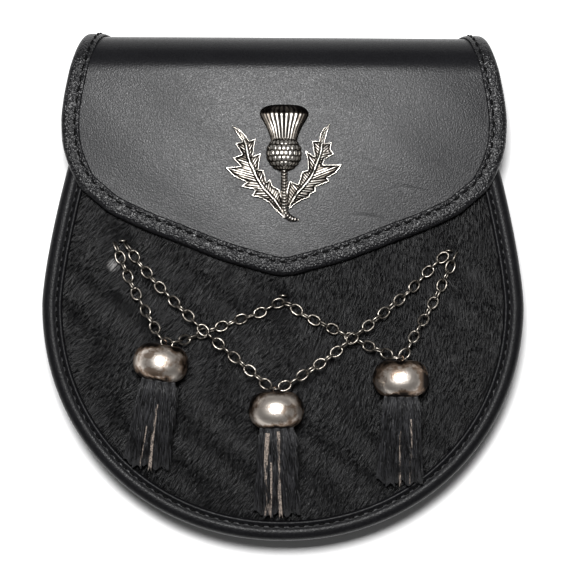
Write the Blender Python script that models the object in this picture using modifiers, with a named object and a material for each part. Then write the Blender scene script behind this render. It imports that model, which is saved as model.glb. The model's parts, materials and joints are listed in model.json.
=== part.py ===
"""Sporran pouch: a flat leather pouch with a furred front, a flap with a cast thistle
badge, and three leather tassels under metal heads that hang on fine chain.

It lies on its back. +X is its right as one looks at its front, +Y its top and +Z the
way that its front faces. The origin is at the middle of its outline, on the surface.
"""

import math

import bmesh
import bpy
from mathutils import Matrix, Vector

# Whole pouch
BODY_WIDTH = 0.200
BODY_HEIGHT = 0.2108
BELLY_HEIGHT = 0.0981
SHOULDER_HEIGHT = 0.054
SHOULDER_DRAW = 0.0097
CLEARANCE = 0.0003
WELD = 0.000005

# Leather walls
RIM_PROUD = 0.0039
BACK_THICKNESS = 0.002
GUSSET_DEPTH = 0.022
GUSSET_THICKNESS = 0.002
GUSSET_BOW = 0.0015
FRONT_THICKNESS = 0.003
FRONT_RISE = 0.006
MOUTH_DROP = 0.0254
BACK_DROP = 0.0194

# Bindings
BINDING_THICKNESS = 0.0015
BORDER_WIDTH = 0.0085
BORDER_ROLL = 0.0021
BORDER_RIDGE = 0.0019
FLAP_BINDING_THICKNESS = 0.001
FLAP_BINDING_WIDTH = 0.0077
GUSSET_INSET = 0.0043

# Flap
FLAP_WIDTH = 0.1846
FLAP_LENGTH = 0.1008
FLAP_THICKNESS = 0.0018
FOLD_REACH = 0.015
FOLD_WIDTH = 0.1656
TAIL_WIDTH = 0.140
TAIL_LENGTH = 0.020
TIP_REST = 0.0019
STUD_RADIUS = 0.006
STUD_MARGIN = 0.004

# Badge
BADGE_WIDTH = 0.0494
BADGE_HEIGHT = 0.0500
BADGE_FROM_FOLD = 0.0540
LEAF_EDGE = 0.0011
LEAF_RIB = 0.0023
STEM_WIDTH = 0.0028
STEM_DEPTH = 0.0030
BULB_RADIUS = 0.0071
BULB_DEPTH = 0.0058
CROWN_TOP_WIDTH = 0.0194
CROWN_NECK_WIDTH = 0.0104
CROWN_DEPTH = 0.0046
CROWN_RIB = 0.00035

# Tassel heads, tassels, chain and staples
HEAD_WIDTH = 0.0228
HEAD_HEIGHT = 0.0150
HEAD_KNOB_RADIUS = 0.0011
HEAD_KNOB_HEIGHT = 0.0008
TASSEL_TOP_WIDTH = 0.0165
TASSEL_BOTTOM_WIDTH = 0.0192
TASSEL_LENGTH = 0.0360
STRIP_WIDTH = 0.0048
STRIP_THICKNESS = 0.0018
CHAIN_WIDTH = 0.0043
STAPLE_WIRE = 0.0009
STAPLE_SPAN = 0.0036
STAPLE_HEIGHT = 0.0024

# Strap rings on the back
RING_WIRE = 0.002
RING_WIDTH = 0.024
RING_HEIGHT = 0.016
RING_ACROSS = 0.046
RING_UP = 0.040
SADDLE_WIDTH = 0.014
SADDLE_FOOT = 0.007
SADDLE_TOE = 0.002
SADDLE_PLATE = 0.0008

# Levels that follow from the sizes above
HALF_WIDTH = BODY_WIDTH / 2
TOP = BODY_HEIGHT / 2
BOTTOM = -BODY_HEIGHT / 2
WIDEST = BOTTOM + BELLY_HEIGHT
DOME_REACH = TOP - WIDEST
MOUTH = TOP - MOUTH_DROP
BACK_TOP = TOP - BACK_DROP
PANEL_INSET = BINDING_THICKNESS + CLEARANCE
BACK_INNER = RIM_PROUD + BACK_THICKNESS
GUSSET_BASE = BACK_INNER + CLEARANCE
FRONT_UNDER = GUSSET_BASE + GUSSET_DEPTH + CLEARANCE
FRONT_RIM = FRONT_UNDER + FRONT_THICKNESS
BORDER_TOP = FRONT_RIM + CLEARANCE + max(BORDER_ROLL, BORDER_RIDGE)
FLAP_UNDER = BORDER_TOP + FLAP_BINDING_THICKNESS + 2 * CLEARANCE
FLAP_RIM = FLAP_UNDER + FLAP_THICKNESS
FLAP_RISE = FRONT_RISE - (FLAP_UNDER - FRONT_RIM - TIP_REST)
FLAP_INSET = FLAP_BINDING_THICKNESS + CLEARANCE
FOLD = TOP - FLAP_INSET - FOLD_REACH
TAIL_FACE = RIM_PROUD - CLEARANCE - FLAP_THICKNESS
TIP = TOP - FLAP_LENGTH
FIELD = TIP - BOTTOM
HEAD_RADIUS = HEAD_WIDTH / 2
CHAIN_RADIUS = CHAIN_WIDTH / 2

# Form of the body's outline
BELLY_POWER = 2.07
SHOULDER_POWER = 1.4
BELLY_STEPS = 26
SIDE_STEPS = 7
FOLD_POWER = 0.6

# Form of the front border: places as shares of its width from its inner edge, and levels
RIDGE_AT = 0.12
GROOVE_AT = 0.28
ROLL_AT = 0.52
SHOULDER_AT = 0.82
GROOVE_LEVEL = 0.6
SHOULDER_LEVEL = 0.85
BORDER_TURN = 0.3

# Form of the back rim: slopes as a share of its width, its round edge and its corner
RIM_SLOPE = 0.25
RIM_ROUND = 0.6
RIM_CORNER = 0.4

# Form of the gusset's wall between back and front, and rings of the front's dome
GUSSET_LEVELS = (
    # share of its depth, share of its bow
    (0.0, 0.0),
    (0.3, 1.0),
    (0.7, 1.0),
    (1.0, 0.0),
)
PANEL_RINGS = (1.0, 0.80, 0.55, 0.28)
MOUTH_STEPS = 8

# The flap's edge from the fold to the tip: shares of its half width and of its front's length
FLAP_EDGE = (
    # across, down
    (0.967, 0.000),
    (0.987, 0.110),
    (0.998, 0.200),
    (1.000, 0.260),
    (0.994, 0.355),
    (0.976, 0.433),
    (0.945, 0.514),
    (0.910, 0.578),
    (0.855, 0.631),
    (0.796, 0.686),
    (0.738, 0.721),
    (0.618, 0.781),
    (0.518, 0.822),
    (0.400, 0.873),
    (0.282, 0.922),
    (0.146, 0.965),
    (0.058, 0.991),
    (0.000, 1.000),
)
FLAP_CORNER_ROW = 9
FLAP_COLUMNS = 16
FLAP_SIDE_ROWS = 9
FOLD_STEPS = 8
FLAP_BINDING_START = 4

# The thistle's leaves from foot to point: shares of the badge's half width and half height
LEFT_LEAF = (
    # rib across, rib up, outer across, outer up, inner across, inner up
    (-0.030, -0.879, 0.003, -0.920, -0.064, -0.812),
    (0.071, -0.738, 0.205, -0.713, 0.012, -0.596),
    (0.171, -0.605, 0.373, -0.593, 0.104, -0.439),
    (0.222, -0.547, 0.541, -0.560, 0.180, -0.397),
    (0.272, -0.497, 0.474, -0.460, 0.225, -0.277),
    (0.323, -0.439, 0.721, -0.405, 0.289, -0.322),
    (0.390, -0.347, 0.620, -0.334, 0.334, -0.128),
    (0.457, -0.231, 0.978, -0.093, 0.415, -0.123),
    (0.499, -0.140, 0.726, -0.065, 0.407, 0.018),
    (0.550, -0.032, 0.861, 0.071, 0.373, 0.159),
    (0.592, 0.076, 0.701, 0.126, 0.511, 0.105),
    (0.617, 0.184, 0.818, 0.309, 0.466, 0.395),
    (0.642, 0.317, 0.701, 0.342, 0.575, 0.350),
    (0.760, 0.520, 0.797, 0.480, 0.743, 0.553),
)
RIGHT_LEAF = (
    # rib across, rib up, outer across, outer up, inner across, inner up
    (0.097, -0.738, 0.111, -0.767, 0.047, -0.696),
    (0.148, -0.638, 0.190, -0.688, 0.044, -0.580),
    (0.190, -0.563, 0.299, -0.626, 0.061, -0.430),
    (0.224, -0.518, 0.434, -0.576, 0.097, -0.306),
    (0.257, -0.480, 0.442, -0.527, 0.198, -0.350),
    (0.291, -0.439, 0.534, -0.485, 0.240, -0.360),
    (0.324, -0.405, 0.534, -0.405, 0.266, -0.281),
    (0.375, -0.347, 0.773, -0.311, 0.299, -0.153),
    (0.408, -0.297, 0.728, -0.252, 0.350, -0.136),
    (0.467, -0.214, 0.980, -0.027, 0.400, -0.123),
    (0.526, -0.090, 0.657, -0.032, 0.392, 0.051),
    (0.551, -0.023, 0.686, 0.051, 0.346, 0.213),
    (0.585, 0.076, 0.837, 0.140, 0.511, 0.105),
    (0.618, 0.184, 0.807, 0.344, 0.467, 0.362),
    (0.632, 0.301, 0.679, 0.321, 0.585, 0.362),
    (0.703, 0.550, 0.736, 0.525, 0.661, 0.575),
)
LEAVES = (
    # side, stations, point
    (-1, LEFT_LEAF, (0.869, 0.596)),
    (1, RIGHT_LEAF, (0.770, 0.641)),
)

# The badge's stem from the bulb to its tail: shares of the badge's half width and half height
STEM_ROUTE = (
    # across, up
    (0.00, 0.00),
    (0.01, -0.30),
    (0.01, -0.60),
    (0.03, -0.82),
    (0.12, -0.92),
    (0.26, -0.95),
)
BULB_UP = 0.15
CROWN_LEVELS = (
    # up as a share of the badge's half height, width from neck 0 to top 1, depth share
    (0.34, 0.00, 0.70),
    (0.50, 0.22, 0.82),
    (0.67, 0.62, 0.94),
    (0.83, 1.00, 1.00),
    (0.91, 0.86, 0.80),
    (0.95, 0.48, 0.50),
)
CROWN_RIBS = 9
STEM_POINTS = 10
STEM_END_WIDTHS = (0.8, 0.4)
STEM_SECTION = (
    # across, height
    (-1.0, 0.1),
    (-1.0, 0.5),
    (-0.6, 1.0),
    (0.6, 1.0),
    (1.0, 0.5),
    (1.0, 0.1),
)

# A tassel head's half section: shares of its height above its middle and of its radius
HEAD_SECTION = (
    # up, out
    (0.50, 0.40),
    (0.47, 0.62),
    (0.37, 0.82),
    (0.20, 0.96),
    (0.00, 1.00),
    (-0.20, 0.96),
    (-0.37, 0.83),
    (-0.47, 0.63),
    (-0.50, 0.40),
)
HEAD_SIDES = 12

# Form of a tassel: shares of its half width at the top, and how it closes and turns
COLLAR_SHARE = 0.86
LAYER_SHARE = 0.62
LAYER_CLOSING = 0.62
LAYER_ROUND = 0.8
STRIP_SWELL = 0.25
STRIP_TURN = 0.35
STRIP_DROOP = 1.3
STRIP_STEPS = 4

# Where each tassel head lies: shares of the body's half width and of the front below the flap's tip
TASSELS = (
    # name, across, up from the tip, lean of its axis in degrees
    ("left", -0.500, -0.328, -8.0),
    ("center", -0.025, -0.502, 1.0),
    ("right", 0.486, -0.382, 0.0),
)

# Each strip of a tassel: place across from -1 to 1, layer 0 below and 1 above, length share
TASSEL_STRIPS = (
    # across, layer, length
    (-0.62, 0, 0.97),
    (0.00, 0, 0.94),
    (0.62, 0, 0.98),
    (-1.00, 1, 0.96),
    (-0.34, 1, 1.00),
    (0.34, 1, 0.97),
    (1.00, 1, 1.00),
)

# Where each staple stands, in the same shares
STAPLES = (
    # name, across, up from the tip
    ("left", -0.665, 0.128),
    ("center", 0.000, -0.074),
    ("right", 0.684, 0.099),
)

# How each leg of a chain runs between a staple and a tassel head, or from head to staple
CHAIN_LEGS = (
    # chain, from, to, then rows of: share along, bow to the left as a share of the leg, lift
    ("chain_swag", "staple_left", "head_left",
     ((0.25, -0.025, 0.05), (0.50, -0.033, 0.30), (0.76, -0.020, 0.68))),
    ("chain_swag", "head_left", "staple_center",
     ((0.12, -0.036, 0.56), (0.32, -0.035, 0.07), (0.60, -0.022, 0.03), (0.80, -0.020, 0.02))),
    ("chain_swag", "staple_center", "head_right",
     ((0.20, -0.020, 0.02), (0.40, -0.022, 0.03), (0.60, -0.028, 0.08), (0.84, -0.022, 0.58))),
    ("chain_swag", "head_right", "staple_right",
     ((0.25, -0.015, 0.68), (0.50, -0.022, 0.30), (0.76, -0.016, 0.05))),
    ("chain_drop", "staple_left", "head_center",
     ((0.11, -0.020, 0.05), (0.26, -0.033, 0.25), (0.46, -0.037, 0.60), (0.55, -0.038, 0.69),
      (0.72, -0.031, 0.78), (0.89, -0.020, 0.93))),
    ("chain_drop", "head_center", "staple_right",
     ((0.15, -0.028, 0.92), (0.30, -0.038, 0.79), (0.44, -0.036, 0.71), (0.60, -0.033, 0.50),
      (0.78, -0.026, 0.22), (0.89, -0.010, 0.06))),
)
CHAIN_STEP = 2.2
LEG_FINENESS = 12
STAPLE_ARCH = 0.6
STAPLE_STEPS = 6

# Form of a strap ring: its straight bar and the rise of its corners, and steps round its bow
BAR_PLACES = (-0.9, -0.3, 0.3, 0.9)
RING_CORNER = 0.12
RING_STEPS = 10


def linear(colour):
    """Scene-linear values of an sRGB hex colour."""
    channels = [int(colour[place:place + 2], 16) / 255 for place in (1, 3, 5)]
    return [c / 12.92 if c <= 0.04045 else ((c + 0.055) / 1.055) ** 2.4 for c in channels]


def finish(name, colour, roughness, metallic):
    """A plain Principled material."""
    material = bpy.data.materials.new(name)
    material.use_nodes = True
    shader = material.node_tree.nodes["Principled BSDF"]
    shader.inputs["Base Color"].default_value = (*linear(colour), 1)
    shader.inputs["Roughness"].default_value = roughness
    shader.inputs["Metallic"].default_value = metallic
    material.diffuse_color = (*linear(colour), 1)
    return material


def add_object(name, data, material, smooth_angle=40):
    """Links a mesh or curve as a named part and gives it its material."""
    part = bpy.data.objects.new(name, data)
    parts.objects.link(part)
    data.materials.clear()
    data.materials.append(material)
    if isinstance(data, bpy.types.Mesh):
        data.shade_smooth()
        data.set_sharp_from_angle(angle=math.radians(smooth_angle))
    return part


def mesh_of(name, points, faces):
    """A mesh whose faces point outwards."""
    mesh = bpy.data.meshes.new(name)
    mesh.from_pydata([tuple(point) for point in points], [], faces)
    shape = bmesh.new()
    shape.from_mesh(mesh)
    bmesh.ops.recalc_face_normals(shape, faces=shape.faces)
    shape.to_mesh(mesh)
    shape.free()
    return mesh


def loft(name, sections):
    """A closed mesh through a row of sections with as many points each, capped at both ends."""
    around = len(sections[0])
    points = [point for section in sections for point in section]
    faces = [tuple(range(around)), tuple(len(points) - 1 - i for i in range(around))]
    for row in range(len(sections) - 1):
        for side in range(around):
            after = (side + 1) % around
            low, high = row * around, (row + 1) * around
            faces.append((low + side, high + side, high + after, low + after))
    return mesh_of(name, points, faces)


def grid_mesh(name, rows):
    """An open surface through rows of points."""
    across = len(rows[0])
    points = [point for row in rows for point in row]
    faces = []
    for row in range(len(rows) - 1):
        for column in range(across - 1):
            corner = row * across + column
            faces.append((corner, corner + 1, corner + across + 1, corner + across))
    mesh = bpy.data.meshes.new(name)
    mesh.from_pydata([tuple(point) for point in points], [], faces)
    return mesh


def thicken(part, thickness):
    """Gives an open surface its wall, away from its normals."""
    wall = part.modifiers.new("Wall", "SOLIDIFY")
    wall.thickness = thickness
    wall.offset = -1
    wall.use_even_offset = True
    return part


def smooth_line(points, share):
    """The point at a share from 0 to 1 of a smooth curve through the given points."""
    spans = len(points) - 1
    place = min(max(share, 0), 1) * spans
    span = min(int(place), spans - 1)
    t = place - span
    before, start = points[max(span - 1, 0)], points[span]
    end, after = points[span + 1], points[min(span + 2, spans)]
    blend = []
    for a, b, c, d in zip(before, start, end, after):
        blend.append(0.5 * (2 * b + (c - a) * t + (2 * a - 5 * b + 4 * c - d) * t * t
                            + (3 * b - a - 3 * c + d) * t ** 3))
    return tuple(blend)


def even_line(points, count, fine=400):
    """Evenly spaced points along a smooth curve through the given points."""
    dense = [Vector(smooth_line(points, i / fine)) for i in range(fine + 1)]
    lengths = [0.0]
    for start, end in zip(dense, dense[1:]):
        lengths.append(lengths[-1] + (end - start).length)
    spaced, place = [], 0
    for i in range(count):
        wanted = lengths[-1] * i / (count - 1)
        while place < fine - 1 and lengths[place + 1] < wanted:
            place += 1
        span = lengths[place + 1] - lengths[place]
        t = 0 if span == 0 else (wanted - lengths[place]) / span
        spaced.append(dense[place].lerp(dense[place + 1], min(max(t, 0), 1)))
    return spaced


def inset_line(points, distance):
    """An open flat line moved to its left by a distance."""
    moved = []
    for i, point in enumerate(points):
        before, after = points[max(i - 1, 0)], points[min(i + 1, len(points) - 1)]
        along = (after - before).normalized()
        moved.append(point + Vector((-along.y, along.x)) * distance)
    return moved


def body_line(inset, top):
    """The body's outline from its left shoulder round the belly to its right shoulder."""
    def side_reach(level):
        rise = max(level - WIDEST, 0) / SHOULDER_HEIGHT
        return HALF_WIDTH - SHOULDER_DRAW * rise ** SHOULDER_POWER

    levels = [top + (WIDEST - top) * step / SIDE_STEPS for step in range(SIDE_STEPS)]
    left = [Vector((-side_reach(level), level)) for level in levels]
    belly = []
    for step in range(BELLY_STEPS + 1):
        turn = math.pi * step / BELLY_STEPS
        across, down = math.cos(turn), math.sin(turn)
        power = 2 / BELLY_POWER
        belly.append(Vector((-math.copysign(abs(across) ** power, across) * HALF_WIDTH,
                             WIDEST - abs(down) ** power * BELLY_HEIGHT)))
    right = [Vector((-point.x, point.y)) for point in reversed(left)]
    return inset_line(left + belly + right, inset)


def dome_share(across, up):
    """1 at the middle of the front and 0 on the body's outline."""
    reach = BELLY_HEIGHT if up < WIDEST else DOME_REACH
    return 1 - (across / HALF_WIDTH) ** 2 - ((up - WIDEST) / reach) ** 2


def front_level(across, up):
    """Height of the front panel's outer side, which is the flattened fur."""
    return FRONT_RIM + FRONT_RISE * dome_share(across, up)


def flap_level(across, up):
    """Height of the flap's outer side on its front."""
    return FLAP_RIM + FLAP_RISE * dome_share(across, up)


def rest_level(across, up):
    """Height of the surface that the pouch lies on."""
    return 0


def edge_frames(edge):
    """Each point of a flat edge that has the part on its left, with the way out of the part."""
    frames = []
    for i, point in enumerate(edge):
        along = (edge[min(i + 1, len(edge) - 1)] - edge[max(i - 1, 0)]).normalized()
        frames.append((point, Vector((along.y, -along.x))))
    return frames


def bind_outline(name, inset, top, profile, level, material):
    """A binding along the body's outline: its profile holds distances outwards and above a level."""
    sections = []
    for point, outwards in edge_frames(body_line(inset, top)):
        section = []
        for out, high in profile:
            place = point + outwards * out
            section.append(Vector((*place, level(*place) + high)))
        sections.append(section)
    return add_object(name, loft(name, sections), material)


def make_back_panel():
    """The flat back, let into the back rim."""
    outline = body_line(PANEL_INSET, BACK_TOP)
    curve = bpy.data.curves.new("back_panel", "CURVE")
    curve.dimensions = "2D"
    curve.fill_mode = "BOTH"
    curve.extrude = BACK_THICKNESS / 2
    spline = curve.splines.new("POLY")
    spline.points.add(len(outline) - 1)
    for place, point in zip(spline.points, outline):
        place.co = (point.x, point.y, 0, 1)
    spline.use_cyclic_u = True
    part = add_object("back_panel", curve, back_leather)
    part.location.z = RIM_PROUD + BACK_THICKNESS / 2
    return part


def make_back_rim():
    """The piped rim round the back that the pouch lies on, flattened where it rests."""
    outer = BINDING_THICKNESS + CLEARANCE
    inner = outer - BORDER_WIDTH
    under = RIM_PROUD - CLEARANCE
    over = BACK_INNER + CLEARANCE
    lip = outer - GUSSET_INSET + CLEARANCE
    profile = (
        (inner, under),
        (inner + RIM_SLOPE * BORDER_WIDTH, 0),
        (outer - RIM_SLOPE * BORDER_WIDTH, 0),
        (outer, RIM_ROUND * under),
        (outer, over),
        (outer - RIM_CORNER * BINDING_THICKNESS, over + BINDING_THICKNESS),
        (lip, over + BINDING_THICKNESS),
        (lip, over),
        (CLEARANCE, over),
        (CLEARANCE, under),
    )
    return bind_outline("back_rim", PANEL_INSET, BACK_TOP - BORDER_WIDTH, profile, rest_level,
                        binding_leather)


def make_gusset():
    """The side band between back and front, open at the mouth and drawn in a little."""
    sections = []
    for point, outwards in edge_frames(body_line(GUSSET_INSET, MOUTH)):
        outer_side, inner_side = [], []
        for level, bow in GUSSET_LEVELS:
            for inset, side in ((0, outer_side), (GUSSET_THICKNESS, inner_side)):
                place = point - outwards * (inset + GUSSET_BOW * bow)
                top = front_level(place.x, place.y) - FRONT_THICKNESS - CLEARANCE
                side.append(Vector((*place, GUSSET_BASE + (top - GUSSET_BASE) * level)))
        sections.append(outer_side + inner_side[::-1])
    return add_object("gusset", loft("gusset", sections), body_leather)


def make_front_panel():
    """The domed hide front, with its flattened fur in its thickness."""
    outline = body_line(PANEL_INSET, MOUTH)
    left, right = outline[0], outline[-1]
    outline = outline + [right.lerp(left, step / MOUTH_STEPS) for step in range(1, MOUTH_STEPS)]
    middle = Vector((0, (WIDEST + MOUTH) / 3))
    rings = [[middle.lerp(point, share) for point in outline] for share in PANEL_RINGS]
    points = [Vector((*point, front_level(*point))) for ring in rings for point in ring]
    points.append(Vector((*middle, front_level(*middle))))
    around = len(outline)
    faces = []
    for ring in range(len(PANEL_RINGS) - 1):
        for side in range(around):
            after = (side + 1) % around
            outer, inner = ring * around, (ring + 1) * around
            faces.append((outer + side, outer + after, inner + after, inner + side))
    last = (len(PANEL_RINGS) - 1) * around
    faces += [(last + side, last + (side + 1) % around, len(points) - 1) for side in range(around)]
    mesh = bpy.data.meshes.new("front_panel")
    mesh.from_pydata([tuple(point) for point in points], [], faces)
    return thicken(add_object("front_panel", mesh, hide), FRONT_THICKNESS)


def make_front_binding():
    """The rolled border round the front, with a stitched groove and a thin ridge inside it."""
    outer = PANEL_INSET
    inner = outer - BORDER_WIDTH
    under = -FRONT_THICKNESS - CLEARANCE
    lip = outer - GUSSET_INSET + CLEARANCE
    profile = (
        (inner, CLEARANCE),
        (inner + RIDGE_AT * BORDER_WIDTH, CLEARANCE + BORDER_RIDGE),
        (inner + GROOVE_AT * BORDER_WIDTH, CLEARANCE + GROOVE_LEVEL * BORDER_RIDGE),
        (inner + ROLL_AT * BORDER_WIDTH, CLEARANCE + BORDER_ROLL),
        (inner + SHOULDER_AT * BORDER_WIDTH, CLEARANCE + SHOULDER_LEVEL * BORDER_ROLL),
        (outer, -BORDER_TURN * FRONT_THICKNESS),
        (outer, under - BORDER_TURN * BINDING_THICKNESS),
        (outer - 0.5 * BINDING_THICKNESS, under - BINDING_THICKNESS),
        (lip, under - BINDING_THICKNESS),
        (lip, under),
        (CLEARANCE, under),
        (CLEARANCE, CLEARANCE),
    )
    return bind_outline("front_binding", PANEL_INSET, MOUTH, profile, front_level, binding_leather)


def fold_half_width(turn):
    """Half width of the flap round its fold: turn runs from 0 at the front to 180 degrees behind."""
    side = FLAP_EDGE[0][0] * FLAP_WIDTH / 2
    top = FOLD_WIDTH / 2
    if turn <= math.pi / 2:
        return top + (side - top) * (1 - math.sin(turn)) ** FOLD_POWER
    return top + (TAIL_WIDTH / 2 - top) * (turn / (math.pi / 2) - 1)


def flap_half_line():
    """The flap sheet's right edge on its front, from the fold to the tip."""
    length = FOLD - TIP
    rows = [Vector((across * FLAP_WIDTH / 2, FOLD - down * length)) for across, down in FLAP_EDGE]
    return inset_line(rows, -FLAP_INSET)


def flap_front_point(across, down, side, hem):
    """A point of the flap's front between its fold, its sides and its lower edge."""
    s = (across + 1) / 2
    right = Vector(smooth_line(side, down))
    left = Vector((-right.x, right.y))
    low = Vector(smooth_line(hem, s))
    corner = side[-1]
    top = Vector((side[0].x * across, FOLD))
    blend = left.lerp(right, s) + top.lerp(low, down)
    lower = Vector((-corner.x, corner.y)).lerp(corner, s)
    flat = blend - top.lerp(lower, down)
    return Vector((*flat, flap_level(*flat)))


def flap_fold_point(across, turn):
    """A point of the flap's outer side round its fold."""
    half = fold_half_width(turn) - FLAP_INSET
    x = across * half
    front = flap_level(across * fold_half_width(0), FOLD)
    middle, reach = (front + TAIL_FACE) / 2, (front - TAIL_FACE) / 2
    return Vector((x, FOLD + FOLD_REACH * math.sin(turn), middle + reach * math.cos(turn)))


def flap_rows():
    """Rows of points over the flap's outer side, from its tail round the fold to its lower edge."""
    line = flap_half_line()
    tip = Vector((0, line[-1].y))
    line[-1] = tip
    side = even_line([tuple(point) for point in line[:FLAP_CORNER_ROW + 1]], FLAP_SIDE_ROWS + 1)
    half_hem = even_line([tuple(point) for point in line[FLAP_CORNER_ROW:]], FLAP_COLUMNS // 2 + 1)
    hem = [Vector((-point.x, point.y)) for point in half_hem] + half_hem[-2::-1]
    columns = [2 * i / FLAP_COLUMNS - 1 for i in range(FLAP_COLUMNS + 1)]
    rows = []
    for step in (1, 0.5):
        rows.append([flap_fold_point(across, math.pi) - Vector((0, TAIL_LENGTH * step, 0))
                     for across in columns])
    for step in range(FOLD_STEPS, 0, -1):
        turn = math.pi * step / FOLD_STEPS
        rows.append([flap_fold_point(across, turn) for across in columns])
    for row in range(FLAP_SIDE_ROWS + 1):
        down = row / FLAP_SIDE_ROWS
        rows.append([flap_front_point(across, down, side, hem) for across in columns])
    return rows


def make_flap():
    """The flap: sewn under the back, folded over the mouth and down over the front."""
    part = add_object("flap", grid_mesh("flap", [row[::-1] for row in flap_rows()]), flap_leather)
    return thicken(part, FLAP_THICKNESS)


def make_flap_binding():
    """The narrow binding folded over the flap's edge, from behind the fold round the tip."""
    rows = flap_rows()[FLAP_BINDING_START:]
    fold_rows = len(rows) - FLAP_SIDE_ROWS - 1
    left = [(row[0], row[0] - row[1]) for row in rows]
    hem = [(point, point - above) for point, above in zip(rows[-1], rows[-2])][1:-1]
    right = [(row[-1], row[-1] - row[-2]) for row in reversed(rows)]
    walk = left + hem + right
    outer = FLAP_INSET
    inner = outer - FLAP_BINDING_WIDTH
    top = CLEARANCE + FLAP_BINDING_THICKNESS
    under = -FLAP_THICKNESS - CLEARANCE
    profile = (
        (inner, CLEARANCE),
        (inner + 0.3 * FLAP_BINDING_THICKNESS, top),
        (outer - 1.2 * FLAP_BINDING_THICKNESS, top),
        (outer, 0),
        (outer, -FLAP_THICKNESS),
        (outer - FLAP_BINDING_THICKNESS, under - FLAP_BINDING_THICKNESS),
        (inner, under - FLAP_BINDING_THICKNESS),
        (inner, under),
        (CLEARANCE, under),
        (CLEARANCE, CLEARANCE),
    )
    sections = []
    for i, (point, sideways) in enumerate(walk):
        along = (walk[min(i + 1, len(walk) - 1)][0] - walk[max(i - 1, 0)][0]).normalized()
        normal = sideways.cross(along).normalized()
        on_fold = i < fold_rows or i >= len(walk) - fold_rows
        outwards = sideways.normalized() if on_fold else along.cross(normal).normalized()
        sections.append([point + outwards * out + normal * high for out, high in profile])
    return add_object("flap_binding", loft("flap_binding", sections), flap_binding_leather)


def make_flap_stud():
    """The plain closing stud hidden between the flap's tip and the front."""
    up = TIP + FLAP_BINDING_WIDTH + STUD_MARGIN + STUD_RADIUS
    below = front_level(0, up - STUD_RADIUS) + CLEARANCE
    above = flap_level(STUD_RADIUS, up + STUD_RADIUS) - FLAP_THICKNESS - CLEARANCE
    bpy.ops.mesh.primitive_cylinder_add(vertices=12, radius=STUD_RADIUS, depth=above - below)
    stud = bpy.context.object
    mesh = stud.data
    bpy.data.objects.remove(stud)
    part = add_object("flap_stud", mesh, antique_metal)
    part.location = (0, up, (above + below) / 2)
    return part


def leaf_mesh(side, stations, point):
    """One lobed leaf with a raised rib: side is 1 for the right leaf and -1 for the left."""
    def place(across, up, height):
        return Vector((side * across * BADGE_WIDTH / 2, up * BADGE_HEIGHT / 2, height))

    top, base = [], []
    for rib_x, rib_y, outer_x, outer_y, inner_x, inner_y in stations:
        top += [place(outer_x, outer_y, LEAF_EDGE), place(rib_x, rib_y, LEAF_RIB),
                place(inner_x, inner_y, LEAF_EDGE)]
        base += [place(outer_x, outer_y, 0), place(rib_x, rib_y, 0), place(inner_x, inner_y, 0)]
    top.append(place(*point, LEAF_EDGE))
    base.append(place(*point, 0))
    count, under = len(stations), len(top)
    faces = []
    for station in range(count - 1):
        low, high = 3 * station, 3 * station + 3
        for column in (0, 1):
            quad = (low + column, high + column, high + column + 1, low + column + 1)
            faces.append(quad)
            faces.append(tuple(under + corner for corner in reversed(quad)))
        for column in (0, 2):
            faces.append((low + column, under + low + column, under + high + column, high + column))
    last, end = 3 * (count - 1), under - 1
    for column in (0, 1):
        faces.append((last + column, end, last + column + 1))
        faces.append((under + last + column + 1, under + end, under + last + column))
        faces.append((column, column + 1, under + column + 1, under + column))
    for column in (0, 2):
        faces.append((last + column, under + last + column, under + end, end))
    return mesh_of("leaf", top + base, faces)


def crown_mesh():
    """The ribbed tuft above the bulb."""
    sections = []
    turns = 2 * CROWN_RIBS
    for up, spread, depth_share in CROWN_LEVELS:
        half = (CROWN_NECK_WIDTH + (CROWN_TOP_WIDTH - CROWN_NECK_WIDTH) * spread) / 2
        section = []
        for step in range(turns + 1):
            turn = math.pi * step / turns
            rib = CROWN_RIB * (1 if step % 2 else -1)
            section.append(Vector((math.cos(turn) * (half + rib), up * BADGE_HEIGHT / 2,
                                   LEAF_EDGE + math.sin(turn) * (CROWN_DEPTH * depth_share + rib))))
        section += [Vector((reach, section[0].y, LEAF_EDGE / 5)) for reach in (-half, half)]
        sections.append(section)
    return loft("crown", sections)


def stem_mesh():
    """The stem and the tail that curves away from its foot."""
    route = [(across * BADGE_WIDTH / 2, up * BADGE_HEIGHT / 2) for across, up in STEM_ROUTE]
    line = even_line(route, STEM_POINTS)
    widths = [1] * (STEM_POINTS - len(STEM_END_WIDTHS)) + list(STEM_END_WIDTHS)
    sections = []
    for i, point in enumerate(line):
        along = (line[min(i + 1, len(line) - 1)] - line[max(i - 1, 0)]).normalized()
        sideways = Vector((along.y, -along.x))
        half = STEM_WIDTH / 2 * widths[i]
        section = []
        for share, height in STEM_SECTION:
            section.append(Vector((*(point + sideways * half * share), height * STEM_DEPTH)))
        sections.append(section)
    return loft("stem", sections)


def bulb_mesh():
    """The round bulb, cut flat behind."""
    shape = bmesh.new()
    bmesh.ops.create_uvsphere(shape, u_segments=14, v_segments=10, radius=1)
    bmesh.ops.scale(shape, vec=(BULB_RADIUS, BULB_RADIUS, BULB_DEPTH), verts=shape.verts)
    bmesh.ops.translate(shape, vec=(0, BULB_UP * BADGE_HEIGHT / 2, LEAF_EDGE), verts=shape.verts)
    cut = bmesh.ops.bisect_plane(shape, geom=shape.verts[:] + shape.edges[:] + shape.faces[:],
                                 plane_co=(0, 0, 0.3 * LEAF_EDGE), plane_no=(0, 0, -1), clear_outer=True)
    rim = [item for item in cut["geom_cut"] if isinstance(item, bmesh.types.BMEdge)]
    bmesh.ops.contextual_create(shape, geom=rim)
    bmesh.ops.recalc_face_normals(shape, faces=shape.faces)
    mesh = bpy.data.meshes.new("bulb")
    shape.to_mesh(mesh)
    shape.free()
    return mesh


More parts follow.
